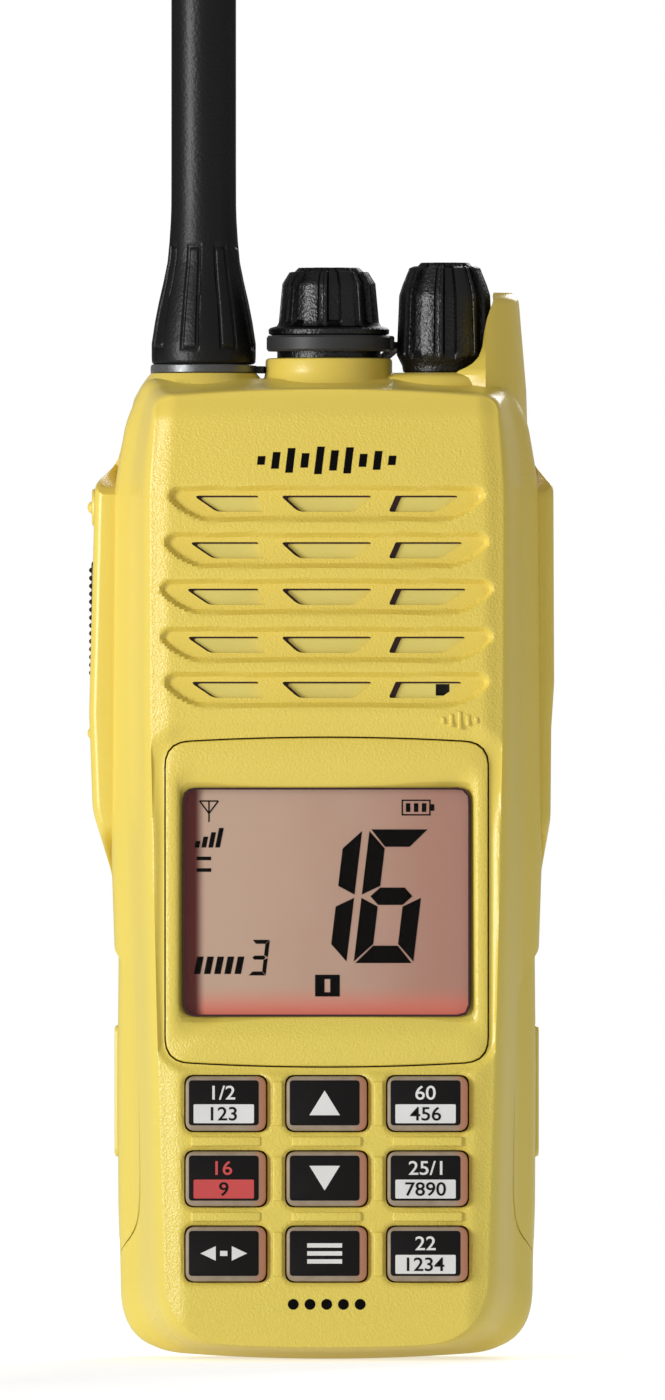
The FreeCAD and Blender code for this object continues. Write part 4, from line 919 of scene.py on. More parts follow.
def segment_parts(digit, x, z, width, height, stroke, y):
    """Seven-segment digit as separate tiles with mitred ends."""
    lit = {1: "bc", 3: "abcdg", 6: "acdefg"}[digit]
    gap, half, mid = stroke * 0.09, stroke / 2, z + height / 2
    right, top = x + width, z + height
    tiles = {
        "a": ((x + gap, top), (right - gap, top), (right - stroke, top - stroke), (x + stroke, top - stroke)),
        "d": ((x + gap, z), (x + stroke, z + stroke), (right - stroke, z + stroke), (right - gap, z)),
        "g": ((x + half, mid), (x + stroke, mid + half), (right - stroke, mid + half), (right - half, mid),
              (right - stroke, mid - half), (x + stroke, mid - half)),
        "f": ((x, top - gap), (x + stroke, top - stroke - gap), (x + stroke, mid + half + gap),
              (x, mid + gap)),
        "e": ((x, mid - gap), (x + stroke, mid - half - gap), (x + stroke, z + stroke + gap), (x, z + gap)),
        "b": ((right, top - gap), (right, mid + gap), (right - stroke, mid + half + gap),
              (right - stroke, top - stroke - gap)),
        "c": ((right, mid - gap), (right, z + gap), (right - stroke, z + stroke + gap),
              (right - stroke, mid - half - gap)),
    }
    return [flat_polygon(slanted(tiles[name], z), y) for name in lit]


def bar(x0, z0, x1, z1, stroke, y):
    """A straight stroke between two points."""
    start, end = np.array([x0, z0], float), np.array([x1, z1], float)
    along = (end - start) / np.linalg.norm(end - start)
    side = np.array([-along[1], along[0]]) * stroke / 2
    return flat_polygon([start - side, end - side, end + side, start + side], y)


def corners_of(x, z, half_x, half_z):
    return [(x - half_x, z - half_z), (x + half_x, z - half_z),
            (x + half_x, z + half_z), (x - half_x, z + half_z)]


def tile(x, z, half_x, half_z, y):
    return flat_polygon(corners_of(x, z, half_x, half_z), y)


def slanted_bar(x, z, width, height, y):
    corners = corners_of(x + width / 2, z + height / 2, width / 2, height / 2)
    return flat_polygon(slanted(corners, z, 0.2), y)


def aerial_parts(x, z, y):
    ends = ((-1.3, 0.0, 1.3, 0.0), (-1.3, 0.0, 0.0, -1.7), (1.3, 0.0, 0.0, -1.7), (0.0, 0.0, 0.0, -2.9))
    return [bar(x + x0, z + z0, x + x1, z + z1, FINE, y) for x0, z0, x1, z1 in ends]


def battery_parts(left, right, low, high, y):
    """Outline, terminal and three filled cells."""
    parts = [bar(left, z, right, z, FINE, y) for z in (high, low)]
    parts += [bar(x, low - 0.1, x, high + 0.1, FINE, y) for x in (left, right)]
    parts.append(bar(right + 0.35, low + 0.55, right + 0.35, high - 0.55, 0.5, y))
    return parts + [bar(x, low + 0.4, x, high - 0.4, 0.6, y) for x in left + np.array((0.8, 1.9, 3.0))]


def lcd_symbols():
    """Channel number, aerial, battery, level and power symbols on the display."""
    y = node_box("lcd_panel")[0][1] - 0.07
    parts = segment_parts(1, -5.9, 53.6, 8.6, 18.4, 2.4, y) + segment_parts(6, 3.7, 53.6, 8.2, 18.4, 2.4, y)
    parts += aerial_parts(-16.2, 75.9, y) + battery_parts(10.4, 14.2, 74.0, 76.0, y)
    parts += [slanted_bar(-18.2 + 0.95 * step, 69.5, 0.65, 0.9 + 0.6 * step, y) for step in range(4)]
    parts += [bar(-17.9, z, -15.9, z, 0.5, y) for z in (66.4, 68.0)]
    parts += [slanted_bar(-18.3 + 1.4 * step, 52.1, 0.9, 2.4, y) for step in range(5)]
    parts += segment_parts(3, -10.8, 51.9, 2.4, 4.9, 0.55, y)
    parts.append(tile(0.1, 50.5, 1.7, 1.5, y))
    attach(mesh_object("lcd_symbols", *joined(parts), [INK]), "root")
    mark = mesh_object("lcd_symbol_window", *bar(0.1, 49.6, 0.1, 51.4, 0.75, y - 0.08), [LCD_GLASS])
    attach(mark, "root")


# ---------------------------------------------------------------- keys

KEY_FRONT_Y = -18.75
CAP_HALF = (4.8, 3.1)
CAP_SHIFT = (-0.28, 0.12)
BOX_HALF, BOX_DROP = (4.15, 1.3), 1.5


def rounded_key(x, z, half_x, half_z, radius, y_front, y_back, soften):
    """A key-shaped block with a softened front rim."""
    rings = []
    for inset, depth in ((0.0, y_back), (0.0, y_front + soften), (soften * 0.3, y_front + soften * 0.3),
                         (soften, y_front)):
        loop = rounded_rectangle(half_x - inset, half_z - inset, radius - inset * 0.6, x, z)
        rings.append(at_depth(loop, depth))
    return loft(rings)


def text_part(body, x, z, height, y, stretch=1.0):
    """Flat lettering, centred, as (points, faces)."""
    curve = bpy.data.curves.new("text", "FONT")
    curve.body, curve.size, curve.extrude = body, height * 1.38, 0.03
    curve.align_x, curve.align_y = "CENTER", "CENTER"
    curve.offset = 0.012 * height
    holder = bpy.data.objects.new("text", curve)
    bpy.context.scene.collection.objects.link(holder)
    depsgraph = bpy.context.evaluated_depsgraph_get()
    mesh = bpy.data.meshes.new_from_object(holder.evaluated_get(depsgraph))
    flat = np.array([vert.co[:] for vert in mesh.vertices])
    middle = (flat[:, :2].max(0) + flat[:, :2].min(0)) / 2
    across, up = (flat[:, :2] - middle).T
    points = np.column_stack([x + across * stretch, y - flat[:, 2], z + up])
    faces = [tuple(polygon.vertices) for polygon in mesh.polygons]
    bpy.data.objects.remove(holder)
    bpy.data.meshes.remove(mesh)
    return points, faces


def up_parts(x, z, y, pointing=1):
    half, rise = 2.1, 1.7 * pointing
    return [flat_polygon([(x - half, z - rise), (x + half, z - rise), (x, z + rise)], y)]


def down_parts(x, z, y):
    return up_parts(x, z, y, -1)


def arrow_pair_parts(x, z, y):
    """Two outward-pointing arrowheads and a bar, for stepping through channels."""
    heads = [flat_polygon([(x + side * 1.1, z + 1.0), (x + side * 1.1, z - 1.0), (x + side * 3.2, z)], y)
             for side in (-1, 1)]
    return heads + [tile(x, z, 0.5, 0.35, y)]


def list_parts(x, z, y):
    """Three stacked bars, for stored channels."""
    return [tile(x, z + rise, 2.4, 0.3, y) for rise in (-1.1, 0.0, 1.1)]


# Each key's print: an upper numeral and the numeral in its lower box, or a symbol.
KEY_PRINTS = (("1/2", "123"), up_parts, ("60", "456"), ("16", "9"), down_parts, ("25/1", "7890"),
              arrow_pair_parts, list_parts, ("22", "1234"))
RED_KEY = 4


def key_print_parts(print_on_key, x, z, y):
    """Light marks, light boxes and dark marks on the boxes, as three lists of parts."""
    if callable(print_on_key):
        return print_on_key(x, z, y), [], []
    upper, lower = print_on_key
    plate = prism(rounded_rectangle(*BOX_HALF, 0.2, x, z - BOX_DROP, 3), y, y + 0.06)
    light = text_part(upper, x, z + 1.4, 1.95, y, 1.1)
    return [light], [plate], [text_part(lower, x, z - BOX_DROP, 1.9, y - 0.02, 1.1)]


def key_piece(number, x, z):
    """One key: silicone body, dark printed cap, and its marks, all in one mesh with its own materials."""
    node = "key_%d" % number
    body = rounded_key(x, z, *KEY_HALF, KEY_RADIUS, KEY_FRONT_Y, node_box(node)[0][1] + 4.2, 0.45)
    cap_x, cap_z = x + CAP_SHIFT[0], z + CAP_SHIFT[1]
    cap = rounded_key(cap_x, cap_z, *CAP_HALF, 0.5, KEY_FRONT_Y - 0.1, KEY_FRONT_Y + 0.2, 0.08)
    marks, boxes, dark = key_print_parts(KEY_PRINTS[number - 1], cap_x, cap_z, KEY_FRONT_Y - 0.14)
    groups = [([body], 0), ([cap], 1), (marks + boxes, 3 if number == RED_KEY else 2), (dark, 1)]
    parts = [part for group, _ in groups for part in group]
    slots = [slot for group, slot in groups for part in group for _ in part[1]]
    materials = [KEY_SILICONE, KEY_PRINT, PRINT_WHITE, PRINT_RED]
    placed(mesh_object(node + "_top", *joined(parts), materials, slots), node, "key_amber", node)


# ---------------------------------------------------------------- antenna, cap, knob

FINE_SEGMENTS = 288
WHIP_RADIUS, DOME_RISE = 4.47, 4.0
WHIP_PROFILE = ((6.95, 140.6), (6.74, 142.0), (6.19, 144.8), (5.57, 147.5), (5.0, 150.3), (4.74, 153.0),
                (4.55, 156.0), (WHIP_RADIUS, 158.5), (WHIP_RADIUS, 170.0))
WHIP_SLOT_TURNS = np.radians([-106.0 + 45.0 * number for number in range(8)])
WHIP_SLOT_LOW, WHIP_SLOT_HIGH = 138.3, 152.4


def slotted(angles, radius, z):
    """The radius with a recessed outline round each slot, its inner land left standing."""
    slot_half = np.interp(z, (138.0, 153.5), (1.1, 0.75))
    reach = np.full(len(angles), radius, float)
    for turn in WHIP_SLOT_TURNS:
        across = np.abs((angles - turn + math.pi) % (2 * math.pi) - math.pi) * radius
        distance = np.maximum(across - slot_half, np.maximum(WHIP_SLOT_LOW - z, z - WHIP_SLOT_HIGH))
        reach -= 0.22 * smoothstep(0.32, 0.12, np.abs(distance))
    return reach


def antenna_whip():
    """Flared rubber foot with eight long slots, then a straight shaft with a domed tip."""
    low, high = whip_low[2], whip_high[2]
    foot = ((6.9, low), (7.15, low + 0.25), (7.2, low + 1.0), (7.2, 139.0))
    radii, heights = np.array(foot + WHIP_PROFILE).T
    levels = np.concatenate([np.linspace(low, low + 1.2, 5), np.linspace(low + 1.6, 156.0, 60),
                             np.linspace(158.0, high - DOME_RISE, 24)])
    path = [(float(np.interp(z, heights, radii)), z) for z in levels]
    path += [(WHIP_RADIUS * math.cos(a), high - DOME_RISE + DOME_RISE * math.sin(a))
             for a in np.linspace(0.12, 1.5, 8)]
    points, faces = turned(ANTENNA_X, TOP_Y, path, FINE_SEGMENTS, slotted)
    whip = mesh_object("antenna_whip_rubber", points, faces, [WHIP_RUBBER])
    seat, core = bore_part(ANTENNA_X, 5.75, low - 1, low + 1.2), bore_part(ANTENNA_X, 3.0, low - 1, 143.0)
    combined(whip, [seat, core], "DIFFERENCE")
    placed(whip, "antenna", "soft_black", "antenna_whip")


FLUTE_PITCH, FLUTE_START, THIN_SHIFT = 45.0, 151.5, 29.0


def fluted(depth, foot):
    """A radius change that cuts eight wide flutes and eight thin grooves upwards from a height."""

    def shape(angles, radius, z):
        turn = np.degrees(angles) + FLUTE_START
        wide, thin = (np.abs((turn - shift) % FLUTE_PITCH - FLUTE_PITCH / 2) for shift in (0.0, THIN_SHIFT))
        cut = smoothstep(8.8, 6.2, wide) + 0.4 * smoothstep(3.9, 2.2, thin)
        return radius - depth * cut * smoothstep(foot, foot + 0.5, z) * smoothstep(2.8, 4.0, radius)

    return shape


def dense(profile, step=0.35):
    """The same (radius, z) profile with extra points along its longer stretches."""
    out = [profile[0]]
    for (r0, z0), (r1, z1) in zip(profile, profile[1:]):
        cells = max(1, int(math.hypot(r1 - r0, z1 - z0) / step))
        out += [(r0 + (r1 - r0) * k / cells, z0 + (z1 - z0) * k / cells) for k in range(1, cells + 1)]
    return out


def jack_cap():
    """Screw cap: plug and neck, thin flange, fluted grip with a chamfered crown."""
    low, high = cap_low[2], cap_high[2]
    profile = dense(((6.4, low), (6.4, 137.0), (7.15, 137.05), (7.15, 140.15), (7.9, 140.2), (8.3, 140.35),
                     (8.35, 140.95), (8.1, 141.2), (7.2, 141.45), (6.95, 141.9), (6.45, 147.3),
                     (5.45, high - 0.6), (4.75, high - 0.55), (4.2, high), (0.8, high)))
    points, faces = turned(CAP_X, TOP_Y, profile, FINE_SEGMENTS, fluted(0.75, 141.7))
    cap = mesh_object("jack_cap_rubber", points, faces, [BLACK_RUBBER])
    placed(cap, "jack_cap", "soft_black", "jack_cap", "cap_seal")


def volume_knob():
    """Fluted volume knob on a short neck."""
    low, high = knob_low[2], knob_high[2]
    profile = dense(((5.4, low), (5.75, low + 0.15), (5.9, low + 1.0), (6.35, low + 1.9), (6.65, low + 2.5),
                     (6.62, low + 3.2), (6.3, high - 4.5), (5.85, high - 3.1), (4.9, high - 0.75),
                     (4.3, high - 0.5), (3.75, high - 0.5), (3.3, high), (0.8, high)))
    points, faces = turned(KNOB_X, TOP_Y, profile, FINE_SEGMENTS, fluted(0.8, low + 2.2))
    knob = mesh_object("volume_knob_rubber", points, faces, [BLACK_RUBBER])
    combined(knob, [bore_part(KNOB_X, 2.0, low - 1, high - 4.0), bore_part(KNOB_X, 4.4, low - 1, low + 0.4)],
             "DIFFERENCE")
    placed(knob, "volume", "soft_black", "volume_knob")


def cap_ring():
    """Flexible ring round the cap's neck, with the lug its strap joins."""
    low, high = ring_low[2], ring_high[2]
    profile = ((7.35, low + 0.1), (7.35, high - 0.1), (7.5, high), (8.35, high), (8.6, high - 0.3),
               (8.6, low + 0.3), (8.35, low), (7.5, low))
    ring = mesh_object("cap_ring_rubber", *turned_tube(CAP_X, TOP_Y, profile), [GREY_RUBBER])
    lug = block((CAP_X + 7.8, TOP_Y - 1.4, low + 0.05), (CAP_X + 9.05, TOP_Y + 2.6, high - 0.05), 0.3)
    combined(ring, [lug], "UNION")
    placed(ring, "cap_lift", "grey_rubber", "cap_ring")


def arc_band(centre_x, inner, outer, start, end, z0, z1, lift=None):
    """A flat band along an arc, in degrees; lift(angle) may raise it."""
    radii, heights = np.array(((inner, z0), (outer, z0), (outer, z1), (inner, z1))).T
    rings = []
    for angle in np.radians(np.linspace(start, end, 48)):
        rise = lift(angle) if lift else 0.0
        rings.append(np.column_stack([centre_x + radii * math.cos(angle), TOP_Y + radii * math.sin(angle),
                                      heights + rise]))
    return loft(rings)


def strap_rise(angle):
    """How far the strap has climbed from the roof to the ring's lug."""
    return 3.4 * smoothstep(math.radians(70), math.radians(8), angle)


def tether_strap():
    """Strap held at the antenna's seat, which passes behind the collar up to the ring's lug."""
    low, high = node_box("tether_strap")
    z0, z1 = low[2] + 0.05, high[2]
    held = arc_band(ANTENNA_X, 7.2, 8.5, -14, 150, z0, z1)
    rising = arc_band(CAP_X, 9.15, 10.3, 172, 8, z0, z1, strap_rise)
    anchor = mesh_object("tether_strap_anchor", *held, [BLACK_RUBBER])
    band = mesh_object("tether_strap_band", *rising, [BLACK_RUBBER])
    placed(anchor, "root", "soft_black", "tether_strap")
    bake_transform(band)


def antenna_washer():
    low, high = washer_low[2], whip_low[2] - 0.01
    profile = ((3.4, low), (3.4, high), (7.14, high), (7.28, high - 0.14), (7.28, low + 0.2), (7.1, low))
    washer = mesh_object("antenna_washer_disc", *turned_tube(ANTENNA_X, TOP_Y, profile), [GREY_METAL])
    placed(washer, "root", "steel", "antenna_washer")


# ---------------------------------------------------------------- rear shell and side keys

REAR_ACROSS, REAR_ALONG = 60, 110
REAR_BACK_Y = 14.0
REAR_CORNERS = ((29.2, 63.0, 1.6), (29.9, 67.5, 8.0), (30.9, 73.5, 10.0), (31.0, 86.0, 20.0),
                (31.4, 92.0, 20.0), (31.3, 119.3, 2.2), (28.4, 122.6, 5.0), (27.4, 128.5, 10.0),
                (24.8, 131.6, 1.6),
                (-24.8, 131.6, 1.6), (-27.6, 128.5, 10.0), (-28.9, 122.6, 5.0), (-32.0, 119.6, 2.4),
                (-32.4, 103.5, 30.0), (-32.8, 88.0, 20.0), (-32.3, 74.5, 10.0), (-29.9, 66.5, 8.0),
                (-29.2, 63.0, 1.6))
REAR_TOP_RIGHT = 8
# The back's rounded edge: how far in from the outline, and how far in front of the back.
REAR_EDGE = ((4.0, 0.0), (3.4, 0.22), (2.2, 0.8), (1.2, 1.6), (0.5, 2.8), (0.1, 4.2), (0.0, 5.6))
PLATE_BACK_Y = 9.0
SCREW_HEAD = 2.1
CONTACT_PITCH = 6.0
CONTACT_XS = (-CONTACT_PITCH, 0.0, CONTACT_PITCH)


def inset_corners(corners, distance):
    """The corners of an outline, each moved inwards so that every side moves by the distance."""
    count = len(corners)
    moved = []
    for index, (x, z, radius) in enumerate(corners):
        here = np.array([x, z])
        before = here - corners[index - 1][:2]
        after = np.array(corners[(index + 1) % count][:2]) - here
        first, second = (np.array([-side[1], side[0]]) / np.linalg.norm(side) for side in (before, after))
        place = here + (first + second) / (1 + first @ second) * distance
        moved.append((place[0], place[1], max(radius - 0.7 * distance, 0.6)))
    return moved


def rear_loop(inset=0.0):
    return gridded_loop(inset_corners(REAR_CORNERS, inset), REAR_TOP_RIGHT, REAR_ACROSS, REAR_ALONG)


def rear_front_depth(loop):
    """Depth of the rear shell's front edge: the bulges reach forward over the sides."""
    x, z = loop[:, 0], loop[:, 1]
    reach = smoothstep(65.0, 72.0, z) * smoothstep(122.6, 119.0, z) * (np.abs(x) > 27.0)
    return 5.6 - 9.4 * reach, reach


def skin_with_back(loops, depths, front_rings, across, along, back_surface):
    """A closed skin: gridded back face, rounded rings forwards, then the front rings and a cap."""
    shift = back_surface(loops[0][:, 0], loops[0][:, 1]) - depths[0]
    fades = (np.array(depths) - depths[-1]) / (depths[0] - depths[-1])
    rings = [at_depth(loop, depth + shift * fade)
             for loop, depth, fade in zip(loops[1:], depths[1:], fades[1:])]
    return skin_over_grid(patch_from_loop(loops[0], across, along), back_surface, rings + front_rings)


def rear_back_surface(x, z):
    """Slightly crowned back with a shallow panel for the belt clip."""
    crown = -0.5 * (x / 30.0) ** 2
    panel = 0.35 * smoothstep(0.4, -0.5, box_distance(x, z - 95.0, 17.5, 26.0, 4.0))
    return REAR_BACK_Y + crown - panel


def rear_shell():
    """Crowned back with rounded edges, side bulges that reach forwards, and the plate behind the pack."""
    insets, drops = np.array(REAR_EDGE).T
    outer = rear_loop()
    front_y, reach = rear_front_depth(outer)
    lip_loop = rear_loop(1.2)
    rings = []
    for share, back in ((0.0, 1.6), (0.1, 0.8), (0.42, 0.25), (0.95, 0.0)):
        loop = outer + (lip_loop - outer) * (share * reach)[:, None]
        rings.append(at_depth(loop, front_y + back * reach))
    beside = half_width(SIDE_CORNERS, lip_loop[:, 1]) - 0.15
    narrow = np.sign(lip_loop[:, 0]) * np.minimum(np.abs(lip_loop[:, 0]), beside)
    side = np.stack([np.where(reach > 0.02, narrow, lip_loop[:, 0]), lip_loop[:, 1]], axis=1)
    rings += [at_depth(side, front_y + 0.02), at_depth(side, 5.6)]
    rings += [at_depth(rear_loop(6.0), depth) for depth in (5.65, 11.5)]
    loops = [rear_loop(inset) for inset in insets]
    skin = skin_with_back(loops, REAR_BACK_Y - drops, rings, REAR_ACROSS, REAR_ALONG, rear_back_surface)
    shell = mesh_object("rear_shell_skin", *skin, [YELLOW])
    plate = prism(rounded_rectangle(26.3, 30.0, 6.0, 0.0, 33.2), 6.5, PLATE_BACK_Y)
    combined(shell, [plate, eyelet_part()], "UNION")
    cutters = side_key_cutters() + [eyelet_bore()] + terminal_cutters() + screw_cutters()
    combined(shell, [joined(cutters)], "DIFFERENCE")
    placed(shell, "root", "case_rear", "rear_shell")


EYELET_PLACE = (16.0, 21.0, 17.2, 124.5)
EYELET_ROOT_Y = 12.6


def eyelet_part():
    """Rounded lug on the back, for a wrist strap."""
    x0, x1, y, z = EYELET_PLACE
    rings = []
    for x, radius in ((x0, 2.9), (x0 + 0.4, 3.3), (x1 - 0.4, 3.3), (x1, 2.9)):
        arc = [(x, y + radius * math.sin(a), z + radius * math.cos(a)) for a in np.linspace(0, math.pi, 25)]
        rings.append(np.array(arc + [(x, EYELET_ROOT_Y, z - radius), (x, EYELET_ROOT_Y, z + radius)]))
    return loft(rings)


def eyelet_bore():
    x0, x1, y, z = EYELET_PLACE
    return bar_along_x(x0 - 1, x1 + 1, y, z, 1.7)


def terminal_cutters():
    low, high = node_box("battery_terminals")
    return [prism(circle_loop(x, (low[2] + high[2]) / 2, 1.3), 4.0, 10.0) for x in CONTACT_XS]


def screw_cutters():
    """Recesses round the four case screws' heads."""
    low, high = node_box("case_screws")
    foot_z, top_z = low[2] + SCREW_HEAD, high[2] - SCREW_HEAD
    places = [(24.6, foot_z, PLATE_BACK_Y), (25.0, top_z, REAR_BACK_Y)]
    return [prism(circle_loop(side * x, z, SCREW_HEAD + 0.2), back - 1.5, 20.0)
            for x, z, back in places for side in (-1, 1)]


SIDE_KEYS = ("side_key_upper", "side_key_lower")
SIDE_KEY_BACK_X, SIDE_KEY_FACE_X = -30.95, -32.45
DOME_RADIUS, DOME_FLATNESS = 0.85, 0.85
RIB_RADIUS, RIB_PITCH, RIB_COUNT = 0.36, 1.09, 14


def side_loop(node, grow, radius, steps=6):
    """A rounded rectangle in the side's (y, z) plane, round a node's box."""
    low, high = node_box(node)
    centre = (low + high) / 2
    half = (high - low) / 2 + grow
    return rounded_rectangle(half[1], half[2], radius, centre[1], centre[2], steps)


def side_prism(loop, x_profile):
    """A loft along X through (x, inset) pairs; each inset shrinks the loop about its own centre."""
    centre = (loop.max(0) + loop.min(0)) / 2
    half = (loop.max(0) - loop.min(0)) / 2
    rings = []
    for x, inset in x_profile:
        flat = centre + (loop - centre) * (1 - inset / half)
        rings.append(np.stack([np.full(len(flat), x), flat[:, 0], flat[:, 1]], axis=1))
    return loft(rings)


def side_key_cutters():
    loops = [side_loop("ptt_button", 0.18, 1.4)] + [side_loop(node, 0.18, 2.7, 10) for node in SIDE_KEYS]
    return [side_prism(loop, ((-36.0, 0.0), (-29.0, 0.0))) for loop in loops]


def finger_rib(x, y0, y1, z):
    """A half-round rib on the push-to-talk pad."""
    arc = [(x + 0.42 - RIB_RADIUS * math.cos(a), z + RIB_RADIUS * math.sin(a))
           for a in np.linspace(-math.pi / 2, math.pi / 2, 7)]
    ring = arc + [(x + 0.6, z + RIB_RADIUS), (x + 0.6, z - RIB_RADIUS)]
    return loft([np.array([(rib_x, y, rib_z) for rib_x, rib_z in ring]) for y in (y0, y1)])


def ptt_button():
    """Rubber push-to-talk pad with a row of finger ribs."""
    low, high = node_box("ptt_button")
    x = low[0]
    body = side_prism(side_loop("ptt_button", 0.0, 1.3),
                      ((SIDE_KEY_BACK_X, 0.0), (x + 0.75, 0.0), (x + 0.5, 0.12), (x + 0.4, 0.4)))
    ribs = [finger_rib(x, high[1] - 0.7, low[1] + 0.7, low[2] + 0.95 + RIB_PITCH * number)
            for number in range(RIB_COUNT)]
    button = mesh_object("ptt_button_pad", *body, [BLACK_RUBBER])
    combined(button, [joined(ribs)], "UNION")
    placed(button, "ptt", "soft_black", "ptt_button")


def side_key(node):
    """Yellow side key, nearly flush, with a small dome to find it by touch."""
    x = SIDE_KEY_FACE_X
    body = side_prism(side_loop(node, 0.0, 2.55, 10),
                      ((SIDE_KEY_BACK_X, 0.0), (x + 0.25, 0.0), (x + 0.05, 0.15), (x, 0.4)))
    _, y, z = sum(node_box(node)) / 2
    dome = []
    for angle in np.linspace(0.0, 1.35, 7):
        ring = circle_loop(y, z, DOME_RADIUS * math.cos(angle))
        ring_x = x + 0.1 - DOME_RADIUS * math.sin(angle) * DOME_FLATNESS
        dome.append(np.column_stack([np.full(len(ring), ring_x), ring]))
    key = mesh_object(node + "_cap", *body, [YELLOW])
    combined(key, [loft(dome)], "UNION")
    placed(key, node, "case_yellow", node)


# ---------------------------------------------------------------- battery pack

PACK_ACROSS, PACK_ALONG = 60, 64
PACK_CORNERS = ((28.1, 0.3, 8.4), (28.75, 20.0, 30.0), (28.85, 40.0, 30.0), (28.7, 56.0, 20.0),
                (28.3, 62.3, 1.4))
PACK_EDGE = ((4.2, 0.0), (3.2, 0.22), (2.0, 0.8), (1.0, 1.8), (0.3, 3.4), (0.0, 5.0))
WING_LEVELS = (2.0, -1.0, -3.2, -4.2, -5.1, -6.0, -7.0, -7.9, -8.8, -9.5)
WING_THICK = 1.05


def pack_back_surface(x, z):
    """Crowned back with five horizontal grip grooves."""
    depth = pack_high[1] - 0.6 * (x / 28.0) ** 2
    for row in (41.0, 44.4, 47.8, 51.2, 54.6):
        depth = depth - 0.55 * smoothstep(0.5, -0.4, box_distance(x, z - row, 15.0, 0.75, 0.7))
    return depth


def pack_loop(inset=0.0):
    corners = inset_corners(mirrored_corners(PACK_CORNERS), inset)
    return with_foot_bow(gridded_loop(corners, len(PACK_CORNERS) - 1, PACK_ACROSS, PACK_ALONG))


def wing_ring(front_y, on_side, level, inset):
    """A ring of the pack's skin at a depth, or at the pack's front edge where that is further back."""
    depth = np.maximum(level, front_y)
    ring = pack_loop(inset)
    lean = side_surface_lean(depth, ring[:, 1]) * on_side
    ring[:, 0] -= np.sign(ring[:, 0]) * lean
    return at_depth(ring, depth)


def battery_case():
    """Rounded tub whose side wings come forwards over the front shell, with a window for each latch."""
    insets, drops = np.array(PACK_EDGE).T
    outer = pack_loop()
    x, z = np.abs(outer[:, 0]), outer[:, 1]
    on_side = (x > 26.0) & (z > 5.0)
    front_y = np.where(on_side, wing_reach(z), WING_FOOT_Y)
    front_y = np.where((z > 61.6) & (x < 26.8), 9.3, front_y)
    rings = [wing_ring(front_y, on_side, level, 0.0) for level in WING_LEVELS]
    rings += [wing_ring(front_y, on_side, level, WING_THICK) for level in WING_LEVELS[::-1]]
    rings.append(at_depth(pack_loop(1.8), pack_high[1] - 2.4))
    loops = [pack_loop(inset) for inset in insets]
    skin = skin_with_back(loops, pack_high[1] - drops, rings, PACK_ACROSS, PACK_ALONG, pack_back_surface)
    case = mesh_object("battery_case_skin", *skin, [YELLOW])
    combined(case, [latch_window(1), latch_window(-1)], "DIFFERENCE")
    placed(case, "battery_pack", "case_yellow", "battery_case")


def battery_cover():
    """Inner wall of the pack, rounded to fit its case, with pockets for the contact plates."""
    low, high = node_box("battery_cover")
    contacts_low, contacts_high = node_box("pack_contacts")
    half_x, half_contact = high[0], contacts_high[0] - CONTACT_PITCH
    corners = ((half_x, low[2], 7.6), (half_x, high[2], 0.8), (-half_x, high[2], 0.8), (-half_x, low[2], 7.6))
    sheet = prism(rounded_loop(corners)[0], low[1], high[1])
    cover = mesh_object("battery_cover_sheet", *sheet, [BLACK_PLASTIC])
    pockets = [block((x - half_contact - 0.2, low[1] - 1, contacts_low[2] - 0.2),
                     (x + half_contact + 0.2, contacts_high[1], contacts_high[2] + 0.2))
               for x in CONTACT_XS]
    combined(cover, [joined(pockets)], "DIFFERENCE")
    placed(cover, "battery_pack", "inner_plastic", "battery_cover")


LATCH_FACE_X = node_box("latch_right")[1][0]
LATCH_Z = (26.7, 44.9)
LATCH_Y = (-0.4, 5.0)
LATCH_INNER_X = 28.1


def latch_loop(grow):
    centre_y, centre_z = sum(LATCH_Y) / 2, sum(LATCH_Z) / 2
    half_y, half_z = (LATCH_Y[1] - LATCH_Y[0]) / 2 + grow, (LATCH_Z[1] - LATCH_Z[0]) / 2 + grow
    return rounded_rectangle(half_y, half_z, 1.2, centre_y, centre_z)


def latch_window(side):
    return side_prism(latch_loop(0.14), ((side * 24.0, 0.0), (side * 33.0, 0.0)))


def latch(node, side):
    """Side release button with grip grooves."""
    face = side * LATCH_FACE_X
    body = side_prism(latch_loop(0.0), ((side * LATCH_INNER_X, 0.0), (face - side * 0.45, 0.0),
                                        (face - side * 0.12, 0.15), (face, 0.5)))
    grooves = [block((face - 0.25, 0.6, z), (face + 0.25, 4.0, z + 0.8)) for z in np.linspace(30.0, 40.8, 6)]
    button = mesh_object(node + "_button", *body, [YELLOW])
    combined(button, [joined(grooves)], "DIFFERENCE")
    placed(button, node, "case_yellow", node)


# ---------------------------------------------------------------- belt clip

CLIP_THICK = 1.8
CLIP_ROUND = 0.035
RIDGE_PITCH, RIDGE_DEPTH = 1.7, 0.3


def clip_width(share):
    """Share of the clip's full width, from its rounded foot at 0 to its head at 1."""
    narrowing = 1 - 0.28 * (1 - share) ** 2
    foot = max(0.02, 1 - max(0, (CLIP_ROUND - share) / CLIP_ROUND) ** 2)
    head = max(0.05, 1 - max(0, (share - 1 + CLIP_ROUND) / CLIP_ROUND) ** 2 * 0.6)
    return narrowing * math.sqrt(foot) * math.sqrt(head)


